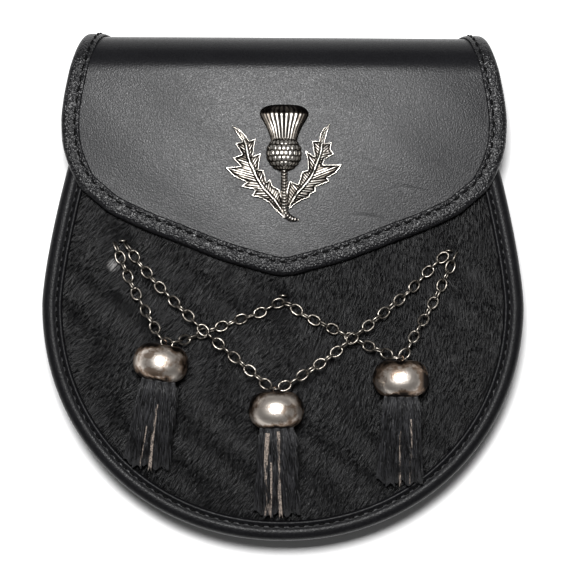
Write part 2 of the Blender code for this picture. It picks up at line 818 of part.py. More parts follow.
def fuse(name, meshes, material, smooth_angle=40):
    """One solid from overlapping closed meshes."""
    whole = add_object(name, meshes[0], material, smooth_angle)
    for i, mesh in enumerate(meshes[1:]):
        piece = bpy.data.objects.new(f"{name}_piece_{i}", mesh)
        cutters.objects.link(piece)
        piece.hide_render = True
        piece.display_type = "WIRE"
        join = whole.modifiers.new(f"Join {i}", "BOOLEAN")
        join.operation = "UNION"
        join.object = piece
    bpy.context.view_layer.update()
    depsgraph = bpy.context.evaluated_depsgraph_get()
    fused = bpy.data.meshes.new_from_object(whole.evaluated_get(depsgraph))
    for piece in [join.object for join in whole.modifiers]:
        bpy.data.objects.remove(piece)
    whole.modifiers.clear()
    shape = bmesh.new()
    shape.from_mesh(fused)
    bmesh.ops.remove_doubles(shape, verts=shape.verts, dist=WELD)
    bmesh.ops.triangulate(shape, faces=shape.faces)
    shape.to_mesh(fused)
    shape.free()
    whole.data = fused
    fused.materials.clear()
    fused.materials.append(material)
    fused.shade_smooth()
    fused.set_sharp_from_angle(angle=math.radians(smooth_angle))
    return whole


def make_badge():
    """The cast thistle in one piece, curved to lie along the flap."""
    up = TOP - BADGE_FROM_FOLD
    meshes = [bulb_mesh(), crown_mesh(), stem_mesh()] + [leaf_mesh(*leaf) for leaf in LEAVES]
    part = fuse("thistle_badge", meshes, antique_metal, 30)
    for corner in part.data.vertices:
        corner.co.y += up
        corner.co.z += flap_level(corner.co.x, corner.co.y) + 2 * CLEARANCE
    return part


def front_place(across, up):
    """Where a share of the half width and of the front below the flap's tip lies."""
    return Vector((HALF_WIDTH * across, TIP + FIELD * up))


def head_level(across, up):
    """Height of a tassel head's axis where it lies on the fur."""
    return front_level(across, up) + CLEARANCE + HEAD_RADIUS


def lean_matrix(across, up, lean):
    """Places a turned piece with its axis along the pouch, leaning to one side."""
    place = Matrix.Translation((across, up, head_level(across, up)))
    return place @ Matrix.Rotation(math.radians(lean), 4, "Z") @ Matrix.Rotation(-math.pi / 2, 4, "X")


def make_tassel_head(name, across, up, lean):
    """A squat round metal head with a knob for the chain."""
    profile = [(0, HEAD_HEIGHT / 2 + HEAD_KNOB_HEIGHT),
               (HEAD_KNOB_RADIUS, HEAD_HEIGHT / 2 + HEAD_KNOB_HEIGHT),
               (HEAD_KNOB_RADIUS, HEAD_HEIGHT / 2)]
    profile += [(HEAD_RADIUS * out, HEAD_HEIGHT * high) for high, out in HEAD_SECTION]
    profile.append((0, -HEAD_HEIGHT / 2))
    mesh = bpy.data.meshes.new(name)
    mesh.from_pydata([(out, 0, high) for out, high in profile],
                     [(i, i + 1) for i in range(len(profile) - 1)], [])
    part = add_object(name, mesh, antique_metal)
    turn = part.modifiers.new("Turn", "SCREW")
    turn.steps = HEAD_SIDES
    turn.render_steps = HEAD_SIDES
    turn.use_merge_vertices = True
    turn.merge_threshold = 0.00001
    part.matrix_world = lean_matrix(across, up, lean)
    return part


def strip_mesh(across, layer, length, fur_drop):
    """One strip of a tassel along -Z, with +Y towards the fur, spreading and drooping to the fur."""
    sections = []
    for step in range(STRIP_STEPS + 1):
        share = step / STRIP_STEPS
        down = -HEAD_HEIGHT / 2 - 2 * CLEARANCE - share * TASSEL_LENGTH * length
        reach = (TASSEL_TOP_WIDTH + (TASSEL_BOTTOM_WIDTH - TASSEL_TOP_WIDTH) * share - STRIP_WIDTH) / 2
        middle = across * reach
        high = (2 * layer - 1) * LAYER_SHARE * TASSEL_TOP_WIDTH / 2 * (1 - LAYER_CLOSING * share)
        high *= math.cos(across * LAYER_ROUND)
        high -= fur_drop * share ** STRIP_DROOP
        half = STRIP_WIDTH / 2
        thick = STRIP_THICKNESS * (1 + STRIP_SWELL * (1 - share)) / 2
        twist = STRIP_TURN * across * (1 - share / 2)
        section = []
        for side, rise in ((-1, -1), (1, -1), (1, 1), (-1, 1)):
            x = side * half * math.cos(twist) - rise * thick * math.sin(twist)
            y = side * half * math.sin(twist) + rise * thick * math.cos(twist)
            section.append(Vector((middle + x, -(high + y), down)))
        sections.append(section)
    return loft("strip", sections)


def make_tassel(name, across, up, lean):
    """The bundle of hide strips below a head, fused to the collar that goes up into it."""
    collar_half = TASSEL_TOP_WIDTH / 2 * COLLAR_SHARE
    shape = bmesh.new()
    bmesh.ops.create_cone(shape, cap_ends=True, segments=12, radius1=collar_half, radius2=collar_half,
                          depth=STRIP_WIDTH)
    bmesh.ops.translate(shape, verts=shape.verts,
                        vec=(0, 0, -HEAD_HEIGHT / 2 - CLEARANCE - STRIP_WIDTH / 2))
    collar = bpy.data.meshes.new("collar")
    shape.to_mesh(collar)
    shape.free()
    turn = math.radians(lean)
    foot = Vector((across + math.sin(turn) * (HEAD_HEIGHT / 2 + TASSEL_LENGTH),
                   up - math.cos(turn) * (HEAD_HEIGHT / 2 + TASSEL_LENGTH)))
    room = head_level(across, up) - front_level(*foot) - CLEARANCE
    layers = LAYER_SHARE * TASSEL_TOP_WIDTH / 2 * (1 - LAYER_CLOSING) + STRIP_THICKNESS
    fur_drop = max(room - layers - 2 * CLEARANCE, 0)
    strips = [strip_mesh(*strip, fur_drop) for strip in TASSEL_STRIPS]
    part = fuse(name, [collar] + strips, tassel_hide)
    part.matrix_world = lean_matrix(across, up, lean)
    return part


def chain_anchor(chain, place_name):
    """Where a chain's middle line meets a staple or hangs at a tassel head's knob."""
    kind, side = place_name.split("_")
    if kind == "head":
        across, up, lean = next(row[1:] for row in TASSELS if row[0] == side)
        place = front_place(across, up)
        reach = HEAD_HEIGHT / 2 + HEAD_KNOB_HEIGHT + CLEARANCE + CHAIN_RADIUS
        turn = math.radians(lean)
        flat = place + Vector((-math.sin(turn), math.cos(turn))) * reach
        return Vector((*flat, head_level(*place)))
    place = front_place(*next(row[1:] for row in STAPLES if row[0] == side))
    beside = {"left": -1, "center": 0, "right": 1}[side] * (1 if chain == "chain_swag" else -1)
    below = CHAIN_RADIUS + STAPLE_WIRE / 2 + CLEARANCE
    flat = place + Vector((beside * (CHAIN_RADIUS + CLEARANCE), -below))
    return Vector((*flat, front_level(*flat) + CLEARANCE + CHAIN_RADIUS))


def leg_point(start, end, along, bow, lift):
    """A point of a leg: part of the way along, bowed sideways, lifted towards a head's axis."""
    way = (end - start).xy
    flat = start.xy + way * along + Vector((-way.y, way.x)) * bow
    rest = front_level(*flat) + CLEARANCE + CHAIN_RADIUS
    return Vector((*flat, rest + lift * (HEAD_RADIUS - CHAIN_RADIUS)))


def make_chain(name):
    """A run of fine chain, as a tube of its outer width over the fur."""
    knots, breaks = [], [0]
    for chain, start_name, end_name, rows in CHAIN_LEGS:
        if chain == name:
            start, end = chain_anchor(chain, start_name), chain_anchor(chain, end_name)
            knots += [start] + [leg_point(start, end, *row) for row in rows]
            breaks.append(len(knots))
    knots.append(end)
    line = [knots[0]]
    for first, last in zip(breaks, breaks[1:]):
        places = [first + i / LEG_FINENESS for i in range(LEG_FINENESS * (last - first) + 1)]
        leg = [smooth_line(knots, place / (len(knots) - 1)) for place in places]
        length = sum((Vector(b) - Vector(a)).length for a, b in zip(leg, leg[1:]))
        line += even_line(leg, round(length / (CHAIN_STEP * CHAIN_WIDTH)) + 1)[1:]
    curve = bpy.data.curves.new(name, "CURVE")
    curve.dimensions = "3D"
    curve.bevel_depth = CHAIN_RADIUS
    curve.bevel_resolution = 2
    curve.use_fill_caps = True
    spline = curve.splines.new("POLY")
    spline.points.add(len(line) - 1)
    for place, point in zip(spline.points, line):
        place.co = (*point, 1)
    return add_object(name, curve, chain_metal)


def make_wire(name, points, diameter, closed, material):
    """A bent wire."""
    curve = bpy.data.curves.new(name, "CURVE")
    curve.dimensions = "3D"
    curve.bevel_depth = diameter / 2
    curve.bevel_resolution = 1
    curve.use_fill_caps = not closed
    spline = curve.splines.new("POLY")
    spline.points.add(len(points) - 1)
    for place, point in zip(spline.points, points):
        place.co = (*point, 1)
    spline.use_cyclic_u = closed
    return add_object(name, curve, material)


def make_staple(name, across, up):
    """A wire staple whose feet stand on the fur."""
    foot = front_level(across, up) + CLEARANCE
    reach = (STAPLE_SPAN - STAPLE_WIRE) / 2
    rise = STAPLE_HEIGHT - STAPLE_WIRE / 2
    points = [(across - reach, up, foot)]
    for step in range(STAPLE_STEPS + 1):
        turn = math.pi * step / STAPLE_STEPS
        points.append((across - reach * math.cos(turn), up,
                       foot + rise - reach * STAPLE_ARCH * (1 - math.sin(turn))))
    points.append((across + reach, up, foot))
    return make_wire(name, points, STAPLE_WIRE, False, antique_metal)


def make_strap_ring(name, side):
    """A D-ring lying flat behind, its straight bar under the saddle."""
    level = RIM_PROUD - 2 * CLEARANCE - RING_WIRE / 2
    reach = (RING_WIDTH - RING_WIRE) / 2
    rise = RING_HEIGHT - RING_WIRE
    points = [(side * RING_ACROSS + reach * share, RING_UP, level) for share in BAR_PLACES]
    for step in range(RING_STEPS + 1):
        turn = math.pi * step / RING_STEPS
        lift = RING_CORNER + (1 - RING_CORNER) * math.sin(turn)
        points.append((side * RING_ACROSS + reach * math.cos(turn), RING_UP + rise * lift, level))
    return make_wire(name, points, RING_WIRE, True, antique_metal)


def make_ring_saddle(name, side):
    """The riveted plate that holds a strap ring's bar against the back."""
    foot_top = RIM_PROUD - CLEARANCE
    foot_low = foot_top - SADDLE_PLATE
    bridge_top = RIM_PROUD - 3 * CLEARANCE - RING_WIRE
    bridge_low = bridge_top - SADDLE_PLATE
    inner = RING_WIRE / 2 + CLEARANCE
    outer = inner + SADDLE_PLATE
    foot_end, toe_end = -outer - SADDLE_FOOT, outer + SADDLE_TOE
    outline = ((foot_end, foot_low), (-outer, foot_low), (-outer, bridge_low), (outer, bridge_low),
               (outer, foot_low), (toe_end, foot_low), (toe_end, foot_top), (inner, foot_top),
               (inner, bridge_top), (-inner, bridge_top), (-inner, foot_top), (foot_end, foot_top))
    sections = []
    for reach in (-SADDLE_WIDTH / 2, SADDLE_WIDTH / 2):
        sections.append([Vector((side * RING_ACROSS + reach, RING_UP + along, level))
                         for along, level in outline])
    return add_object(name, loft(name, sections), antique_metal)


for leftover in list(bpy.data.objects):
    bpy.data.objects.remove(leftover)
parts = bpy.data.collections.new("Sporran pouch")
cutters = bpy.data.collections.new("Cutters")
for group in (parts, cutters):
    bpy.context.scene.collection.children.link(group)

back_leather = finish("Back leather", "#2B2A2B", 0.55, 0.0)
body_leather = finish("Gusset leather", "#232324", 0.5, 0.0)
hide = finish("Black hair-on hide", "#1E1F20", 0.8, 0.0)
binding_leather = finish("Rolled binding leather", "#202022", 0.42, 0.0)
flap_leather = finish("Flap leather", "#3A3A3C", 0.45, 0.0)
flap_binding_leather = finish("Flap binding leather", "#262628", 0.5, 0.0)
tassel_hide = finish("Tassel hide", "#26272A", 0.75, 0.0)
antique_metal = finish("Antiqued silver plate", "#8F8781", 0.3, 1.0)
chain_metal = finish("Gunmetal chain", "#83807A", 0.3, 1.0)

make_back_panel()
make_back_rim()
make_gusset()
make_front_panel()
make_front_binding()
make_flap()
make_flap_binding()
make_flap_stud()
make_badge()
for place_name, place_across, place_up, place_lean in TASSELS:
    head_place = front_place(place_across, place_up)
    make_tassel_head(f"tassel_head_{place_name}", *head_place, place_lean)
    make_tassel(f"tassel_{place_name}", *head_place, place_lean)
for place_name, place_across, place_up in STAPLES:
    make_staple(f"staple_{place_name}", *front_place(place_across, place_up))
make_chain("chain_swag")
make_chain("chain_drop")
for place_name, place_side in (("left", -1), ("right", 1)):
    make_strap_ring(f"strap_ring_{place_name}", place_side)
    make_ring_saddle(f"ring_saddle_{place_name}", place_side)
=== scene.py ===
"""Looks of a sporran pouch: fur, leather, stitching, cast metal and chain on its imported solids.

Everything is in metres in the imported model's frame: +X is the pouch's right, +Y its top and
+Z the way its front faces. The pouch lies on its back.
"""

from __future__ import annotations

import json
import logging
import math
from collections.abc import Callable, Sequence
from dataclasses import dataclass
from enum import Enum

import bmesh
import bpy
import numpy as np
from mathutils import Matrix, Vector

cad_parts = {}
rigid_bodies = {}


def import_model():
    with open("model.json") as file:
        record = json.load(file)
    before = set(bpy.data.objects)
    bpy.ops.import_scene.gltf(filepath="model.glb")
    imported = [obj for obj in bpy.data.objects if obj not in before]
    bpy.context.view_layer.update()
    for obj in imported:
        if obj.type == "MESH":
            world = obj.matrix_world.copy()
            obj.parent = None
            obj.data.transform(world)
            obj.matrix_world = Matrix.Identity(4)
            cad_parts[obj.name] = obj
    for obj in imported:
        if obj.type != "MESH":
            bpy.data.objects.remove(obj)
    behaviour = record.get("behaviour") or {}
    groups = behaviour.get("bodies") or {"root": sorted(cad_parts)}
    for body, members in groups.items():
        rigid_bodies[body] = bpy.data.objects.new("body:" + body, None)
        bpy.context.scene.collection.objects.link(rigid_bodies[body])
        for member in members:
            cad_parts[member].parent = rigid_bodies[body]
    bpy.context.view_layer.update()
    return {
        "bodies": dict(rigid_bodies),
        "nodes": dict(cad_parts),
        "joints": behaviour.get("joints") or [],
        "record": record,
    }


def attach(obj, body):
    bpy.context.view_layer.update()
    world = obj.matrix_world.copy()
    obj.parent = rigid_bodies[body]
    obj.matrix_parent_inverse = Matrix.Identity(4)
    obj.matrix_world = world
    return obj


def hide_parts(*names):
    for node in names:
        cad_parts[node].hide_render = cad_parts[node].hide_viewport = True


LOG = logging.getLogger("sporran")
BODY = "root"
MM = 0.001
Faces = list[tuple[int, ...]]
Tree = bpy.types.NodeTree
Socket = bpy.types.NodeSocket


class Slot(Enum):
    """The record's material slots."""

    BACK = "back_leather"
    GUSSET = "gusset_leather"
    HIDE = "hair_on_hide"
    BINDING = "binding_leather"
    FLAP = "flap_leather"
    FLAP_BINDING = "flap_binding_leather"
    TASSEL = "tassel_hide"
    SILVER = "antique_silver"
    CHAIN = "gunmetal_chain"


@dataclass(frozen=True)
class Form:
    """Sizes and levels of the pouch's solids, which every piece here keeps to."""

    half_width: float = 0.100
    height: float = 0.2108
    belly: float = 0.0981
    shoulder: float = 0.054
    draw: float = 0.0097
    belly_power: float = 2.07
    shoulder_power: float = 1.4
    gap: float = 0.0003
    rim_proud: float = 0.0039
    back_wall: float = 0.002
    gusset_depth: float = 0.022
    gusset_wall: float = 0.002
    gusset_inset: float = 0.0043
    gusset_bow: float = 0.0015
    front_wall: float = 0.003
    front_rise: float = 0.006
    binding_wall: float = 0.0015
    border: float = 0.0085
    roll: float = 0.0021
    flap_half: float = 0.0923
    flap_length: float = 0.1008
    flap_wall: float = 0.0018
    flap_lap: float = 0.001
    fold_reach: float = 0.015
    fold_half: float = 0.0828
    tail_half: float = 0.070
    tail: float = 0.020
    tip_rest: float = 0.0019
    mouth_drop: float = 0.0254
    back_drop: float = 0.0194

    @property
    def top(self) -> float:
        """The fold's highest reach."""
        return self.height / 2

    @property
    def bottom(self) -> float:
        """The belly's lowest reach."""
        return -self.height / 2

    @property
    def widest(self) -> float:
        """Where the outline is widest."""
        return self.bottom + self.belly

    @property
    def mouth(self) -> float:
        """Where the front ends under the flap."""
        return self.top - self.mouth_drop

    @property
    def panel_inset(self) -> float:
        """How far the panels lie within the outline."""
        return self.binding_wall + self.gap

    @property
    def back_inner(self) -> float:
        """Level of the back panel's inner side."""
        return self.rim_proud + self.back_wall

    @property
    def gusset_base(self) -> float:
        """Level that the gusset stands on."""
        return self.back_inner + self.gap

    @property
    def front_rim(self) -> float:
        """Level of the front's outer side at the outline."""
        return self.gusset_base + self.gusset_depth + self.gap + self.front_wall

    @property
    def flap_rim(self) -> float:
        """Level of the flap's outer side at the outline."""
        return self.front_rim + 3 * self.gap + self.roll + self.flap_lap + self.flap_wall

    @property
    def flap_rise(self) -> float:
        """How far the flap domes up."""
        under = self.flap_rim - self.flap_wall
        return self.front_rise - (under - self.front_rim - self.tip_rest)

    @property
    def flap_inset(self) -> float:
        """How far the flap's sheet lies within its binding."""
        return self.flap_lap + self.gap

    @property
    def fold(self) -> float:
        """Where the flap starts to turn over the mouth."""
        return self.top - self.flap_inset - self.fold_reach

    @property
    def tail_face(self) -> float:
        """Level of the flap's outer side behind the back panel."""
        return self.rim_proud - self.gap - self.flap_wall

    @property
    def tip(self) -> float:
        """The flap's lowest point."""
        return self.top - self.flap_length

    @property
    def field(self) -> float:
        """Length of the front below the flap's tip."""
        return self.tip - self.bottom

    def dome(self, x: np.ndarray, y: np.ndarray) -> np.ndarray:
        """1 at the middle of the front and 0 on the outline."""
        reach = np.where(np.asarray(y) < self.widest, self.belly, self.top - self.widest)
        return 1 - (x / self.half_width) ** 2 - ((y - self.widest) / reach) ** 2

    def front(self, x: np.ndarray, y: np.ndarray) -> np.ndarray:
        """Level of the flattened fur."""
        return self.front_rim + self.front_rise * self.dome(x, y)

    def flap(self, x: np.ndarray, y: np.ndarray) -> np.ndarray:
        """Level of the flap's outer side."""
        return self.flap_rim + self.flap_rise * self.dome(x, y)

    def floor(self, x: np.ndarray, y: np.ndarray) -> np.ndarray:
        """Level that the pouch lies on."""
        return np.zeros_like(x)

    def outline(self, inset: float, top: float, count: int) -> np.ndarray:
        """The body's outline from left shoulder round the belly to right shoulder.

        Args:
            inset: How far within the outline it runs.
            top: Where it starts and ends.
            count: How many evenly spaced points it has.

        Returns:
            Points as rows of x, y.
        """
        levels = np.linspace(top, self.widest, 60, endpoint=False)
        rise = np.clip(levels - self.widest, 0, None) / self.shoulder
        side = np.stack([-(self.half_width - self.draw * rise ** self.shoulder_power), levels], 1)
        turn = np.linspace(0, math.pi, 361)
        power = 2 / self.belly_power
        belly = np.stack([-np.sign(np.cos(turn)) * np.abs(np.cos(turn)) ** power * self.half_width,
                          self.widest - np.sin(turn) ** power * self.belly], 1)
        line = np.concatenate([side, belly, side[::-1] * (-1, 1)])
        return even(line + left_of(line) * inset, count)

    def place(self, across: float, up: float) -> np.ndarray:
        """Where a share of the half width and of the front below the tip lies."""
        return np.array((self.half_width * across, self.tip + self.field * up))


FORM = Form()


# Lines and meshes
def left_of(line: np.ndarray) -> np.ndarray:
    """Unit vectors to the left of a flat line, one for each point."""
    along = np.gradient(line, axis=0)
    along /= np.linalg.norm(along, axis=1, keepdims=True)
    return np.stack([-along[:, 1], along[:, 0]], 1)


def unit(vectors: np.ndarray) -> np.ndarray:
    """The vectors at length one."""
    return vectors / np.maximum(np.linalg.norm(vectors, axis=-1, keepdims=True), 1e-12)


def arc_of(line: np.ndarray) -> np.ndarray:
    """Length of a line up to each of its points."""
    return np.concatenate([[0], np.cumsum(np.linalg.norm(np.diff(line, axis=0), axis=1))])


def even(line: np.ndarray, count: int) -> np.ndarray:
    """Evenly spaced points along a dense line."""
    lengths = arc_of(line)
    wanted = np.linspace(0, lengths[-1], count)
    return np.stack([np.interp(wanted, lengths, axis) for axis in line.T], 1)


def reach_of(line: np.ndarray) -> float:
    """Length of a line."""
    return float(np.linalg.norm(np.diff(line, axis=0), axis=1).sum())


def spline(knots: Sequence[Sequence[float]], shares: np.ndarray) -> np.ndarray:
    """Points of a smooth curve through knots.

    Args:
        knots: The points that it passes.
        shares: Places from 0 to 1, with the knots evenly spread over them.

    Returns:
        One point for each share.
    """
    rows = np.asarray(knots, float)
    spans = len(rows) - 1
    place = np.clip(shares, 0, 1) * spans
    span = np.minimum(place.astype(int), spans - 1)
    t = (place - span)[:, None]
    a, b = rows[np.maximum(span - 1, 0)], rows[span]
    c, d = rows[span + 1], rows[np.minimum(span + 2, spans)]
    return 0.5 * (2 * b + (c - a) * t + (2 * a - 5 * b + 4 * c - d) * t ** 2
                  + (3 * b - a - 3 * c + d) * t ** 3)


def grid_faces(rows: int, columns: int, start: int = 0, ring: bool = False,
               flip: bool = False) -> Faces:
    """Quads over a grid of points.

    Args:
        rows: Points along.
        columns: Points across.
        start: Number of the first point.
        ring: Whether the last column joins the first.
        flip: Whether the faces look the other way.

    Returns:
        The faces.
    """
    last = columns if ring else columns - 1
    r, c = np.meshgrid(np.arange(rows - 1), np.arange(last), indexing="ij")
    after = (c + 1) % columns
    quads = np.stack([r * columns + c, r * columns + after, (r + 1) * columns + after,
                      (r + 1) * columns + c], -1).reshape(-1, 4) + start
    return [tuple(quad) for quad in (quads[:, ::-1] if flip else quads).tolist()]


def new_mesh(name: str, points: np.ndarray, faces: Faces, outwards: bool = True) -> bpy.types.Mesh:
    """A smooth-shaded mesh.

    Args:
        name: Its name.
        points: Rows of x, y, z.
        faces: Its faces.
        outwards: Whether the normals are recalculated to point outwards.

    Returns:
        The mesh.
    """
    mesh = bpy.data.meshes.new(name)
    mesh.from_pydata(np.asarray(points).reshape(-1, 3).tolist(), [], faces)
    if outwards:
        shape = bmesh.new()
        shape.from_mesh(mesh)
        bmesh.ops.recalc_face_normals(shape, faces=shape.faces)
        shape.to_mesh(mesh)
        shape.free()
    mesh.shade_smooth()
    return mesh


def sweep(name: str, sections: np.ndarray, closed: bool = False) -> bpy.types.Mesh:
    """A closed skin through rings of points, with flat ends or joined into a ring itself."""
    count, around = sections.shape[:2]
    faces = grid_faces(count, around, ring=True)
    if closed:
        last = (count - 1) * around
        faces += [(last + s, last + (s + 1) % around, (s + 1) % around, s) for s in range(around)]
    else:
        faces += [tuple(range(around))[::-1], tuple(range((count - 1) * around, count * around))]
    return new_mesh(name, sections, faces)


def tube(name: str, line: np.ndarray, radius: float | np.ndarray, sides: int = 10,
         closed: bool = False) -> bpy.types.Mesh:
    """A round wire along a line."""
    line = np.asarray(line, float)
    if closed:
        along = unit(np.roll(line, -1, 0) - np.roll(line, 1, 0))
    else:
        along = unit(np.gradient(line, axis=0))
    across = unit(np.cross(along, (0.31, 0.17, 0.94)))
    over = np.cross(across, along)
    turn = circle(sides)[None, :, None]
    reach = np.broadcast_to(radius, len(line))[:, None, None]
    ring = across[:, None] * np.cos(turn) + over[:, None] * np.sin(turn)
    return sweep(name, line[:, None] + ring * reach, closed)


def surface_normals(grid: np.ndarray) -> np.ndarray:
    """Unit normals of a grid of points."""
    return unit(np.cross(np.gradient(grid, axis=1), np.gradient(grid, axis=0)))


def slab(name: str, outer: np.ndarray, inner: np.ndarray) -> bpy.types.Mesh:
    """A closed mesh between two grids of points with as many rows and columns."""
    rows, columns = outer.shape[:2]
    under = rows * columns
    edge = [(0, c) for c in range(columns)] + [(r, columns - 1) for r in range(1, rows)]
    edge += [(rows - 1, c) for c in range(columns - 2, -1, -1)]
    edge += [(r, 0) for r in range(rows - 2, 0, -1)]
    loop = [r * columns + c for r, c in edge]
    faces = grid_faces(rows, columns) + grid_faces(rows, columns, under, flip=True)
    faces += [(a, under + a, under + b, b) for a, b in zip(loop, loop[1:] + loop[:1])]
    points = np.concatenate([outer.reshape(-1, 3), inner.reshape(-1, 3)])
    return new_mesh(name, points, faces)


def shell(name: str, grid: np.ndarray, wall: float) -> bpy.types.Mesh:
    """A sheet, from its outer side's grid of points, with its wall under it."""
    normals = surface_normals(grid)
    if normals[grid.shape[0] // 2, grid.shape[1] // 2, 2] < 0:
        normals = -normals
    return slab(name, grid, grid - normals * wall)


def lifted(flat: np.ndarray, high: np.ndarray) -> np.ndarray:
    """Flat points with their heights."""
    return np.concatenate([flat, high[..., None]], -1)


def circle(count: int) -> np.ndarray:
    """Angles evenly round a circle."""
    return np.linspace(0, 2 * math.pi, count, endpoint=False)


def ridge(off: np.ndarray, middle: float, width: float) -> np.ndarray:
    """1 at a distance from a line, fading on both sides of it."""
    return np.exp(-((off - middle) / width) ** 2)


def away_from(points: np.ndarray, line: np.ndarray) -> np.ndarray:
    """Distance of flat points from a line of straight legs."""
    start, way = line[:-1], np.diff(line, axis=0)
    off = points[..., None, :] - start
    share = np.clip((off * way).sum(-1) / (way ** 2).sum(-1).clip(1e-12), 0, 1)
    return np.linalg.norm(off - way * share[..., None], axis=-1).min(-1)


def joined(name: str, meshes: Sequence[bpy.types.Mesh], *kept: str) -> bpy.types.Mesh:
    """One mesh from several closed ones.

    Args:
        name: Its name.
        meshes: The meshes, which are used up.
        kept: The marks that are carried over.

    Returns:
        The mesh.
    """
    points, faces, start = [], [], 0
    marks = {label: [] for label in kept}
    for mesh in meshes:
        count = len(mesh.vertices)
        flat = np.empty(3 * count, np.float32)
        mesh.vertices.foreach_get("co", flat)
        points.append(flat.reshape(-1, 3))
        faces += [tuple(v + start for v in face.vertices) for face in mesh.polygons]
        start += count
        for label, rows in marks.items():
            attribute = mesh.attributes[label]
            vector = attribute.data_type == "FLOAT_VECTOR"
            values = np.empty(count * (3 if vector else 1), np.float32)
            attribute.data.foreach_get("vector" if vector else "value", values)
            rows.append(values.reshape(count, -1))
        bpy.data.meshes.remove(mesh)
    whole = new_mesh(name, np.concatenate(points), faces, outwards=False)
    for label, rows in marks.items():
        values = np.concatenate(rows)
        mark(whole, label, values if values.shape[1] == 3 else values[:, 0])
    return whole


def mark(mesh: bpy.types.Mesh, name: str, values: np.ndarray) -> bpy.types.Mesh:
    """Keeps a number or a vector for each point under a name."""
    flat = np.asarray(values, np.float32)
    kind = "FLOAT_VECTOR" if flat.ndim > 1 and flat.shape[-1] == 3 else "FLOAT"
    attribute = mesh.attributes.new(name, kind, "POINT")
    attribute.data.foreach_set("vector" if kind == "FLOAT_VECTOR" else "value", flat.ravel())
    return mesh


def add_piece(name: str, mesh: bpy.types.Mesh, material: bpy.types.Material,
              stands_for: Sequence[str] = ()) -> bpy.types.Object:
    """Links a finished piece, fixes it to the pouch and reports it.

    Args:
        name: The piece's name.
        mesh: Its mesh, placed in the pouch's frame.
        material: Its finish.
        stands_for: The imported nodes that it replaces.

    Returns:
        The piece.
    """
    piece = bpy.data.objects.new(name, mesh)
    bpy.context.scene.collection.objects.link(piece)
    mesh.materials.clear()
    mesh.materials.append(material)
    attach(piece, BODY)
    if stands_for:
        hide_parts(*stands_for)
    mesh.calc_loop_triangles()
    LOG.info("%s: %d triangles", name, len(mesh.loop_triangles))
    return piece


# Node trees
def put(tree: Tree, kind: str, links: dict | None = None,
        stops: Sequence[tuple[float, str]] = (), **settings: object) -> bpy.types.Node:
    """Adds a node with its settings and links.

    Args:
        tree: The node tree.
        kind: The node's type.
        links: A value or an output socket for each input, by name or number.
        stops: Places and sRGB colours of a colour ramp.
        settings: The node's own settings.

    Returns:
        The node.
    """
    node = tree.nodes.new(kind)
    for key, value in settings.items():
        setattr(node, key, value)
    for key, value in (links or {}).items():
        if isinstance(value, Socket):
            tree.links.new(value, node.inputs[key])
        else:
            node.inputs[key].default_value = value
    for i, (place, colour) in enumerate(stops):
        stop = node.color_ramp.elements[i] if i < 2 else node.color_ramp.elements.new(place)
        stop.position, stop.color = place, linear(colour)
    return node


def linear(colour: str) -> tuple[float, float, float, float]:
    """Scene-linear values of an sRGB hex colour."""
    channels = [int(colour[i:i + 2], 16) / 255 for i in (1, 3, 5)]
    return (*[c / 12.92 if c <= 0.04045 else ((c + 0.055) / 1.055) ** 2.4 for c in channels], 1.0)


def noise(tree: Tree, place: Socket, scale: float | Socket, detail: float,
          roughness: float = 0.5) -> Socket:
    """A cloudy number from 0 to 1, finer with more scale."""
    return put(tree, "ShaderNodeTexNoise", {"Vector": place, "Scale": scale, "Detail": detail,
                                            "Roughness": roughness}).outputs[0]


def reckon(tree: Tree, operation: str, *values: float | Socket, clamp: bool = False) -> Socket:
    """The result of one sum."""
    return put(tree, "ShaderNodeMath", dict(enumerate(values)), operation=operation,
               use_clamp=clamp).outputs[0]


def remap(tree: Tree, value: Socket, given: Sequence[float] = (0.0, 1.0),
          wanted: Sequence[float] = (0.0, 1.0)) -> Socket:
    """A number moved from one range to another and kept within it."""
    return put(tree, "ShaderNodeMapRange", {
        "Value": value, "From Min": given[0], "From Max": given[1], "To Min": wanted[0],
        "To Max": wanted[1]}).outputs[0]


def blend(tree: Tree, share: float | Socket, first: Socket, second: Socket) -> Socket:
    """A share of the way from one number to another."""
    return put(tree, "ShaderNodeMix", {0: share, 2: first, 3: second}).outputs[0]


def blend_colours(tree: Tree, share: Socket, first: object, second: object) -> Socket:
    """A share of the way from one colour to another."""
    return put(tree, "ShaderNodeMix", {0: share, 6: first, 7: second}, data_type="RGBA").outputs[2]


def ramp(tree: Tree, value: Socket, *stops: tuple[float, str]) -> Socket:
    """A colour from a ramp of places and sRGB colours."""
    return put(tree, "ShaderNodeValToRGB", {0: value}, stops=stops).outputs[0]


def marked(tree: Tree, name: str) -> Socket:
    """A number that the mesh or its strands carry."""
    return put(tree, "ShaderNodeAttribute", attribute_name=name).outputs["Fac"]


def start_material(name: str) -> tuple[bpy.types.Material, Tree, Socket]:
    """An empty material, its tree and its object coordinates."""
    material = bpy.data.materials.new(name)
    material.use_nodes = True
    material.node_tree.nodes.clear()
    place = put(material.node_tree, "ShaderNodeTexCoord").outputs["Object"]
    return material, material.node_tree, place


def end_material(tree: Tree, colour: Socket, roughness: Socket, bump: Socket, depth: float,
                 **fixed: float) -> None:
    """Gives a tree its shader.

    Args:
        tree: The material's tree.
        colour: Base colour.
        roughness: Roughness.
        bump: Height of the surface's relief from 0 to 1.
        depth: That relief's depth in metres.
        fixed: Values of the shader that are the same all over, by their names with _ for spaces.
    """
    relief = put(tree, "ShaderNodeBump", {"Height": bump, "Distance": depth, "Strength": 1.0})
    shader = put(tree, "ShaderNodeBsdfPrincipled",
                 {"Base Color": colour, "Roughness": roughness, "Normal": relief.outputs[0]})
    for key, value in fixed.items():
        shader.inputs[key.replace("_", " ")].default_value = value
    put(tree, "ShaderNodeOutputMaterial", {"Surface": shader.outputs[0]})


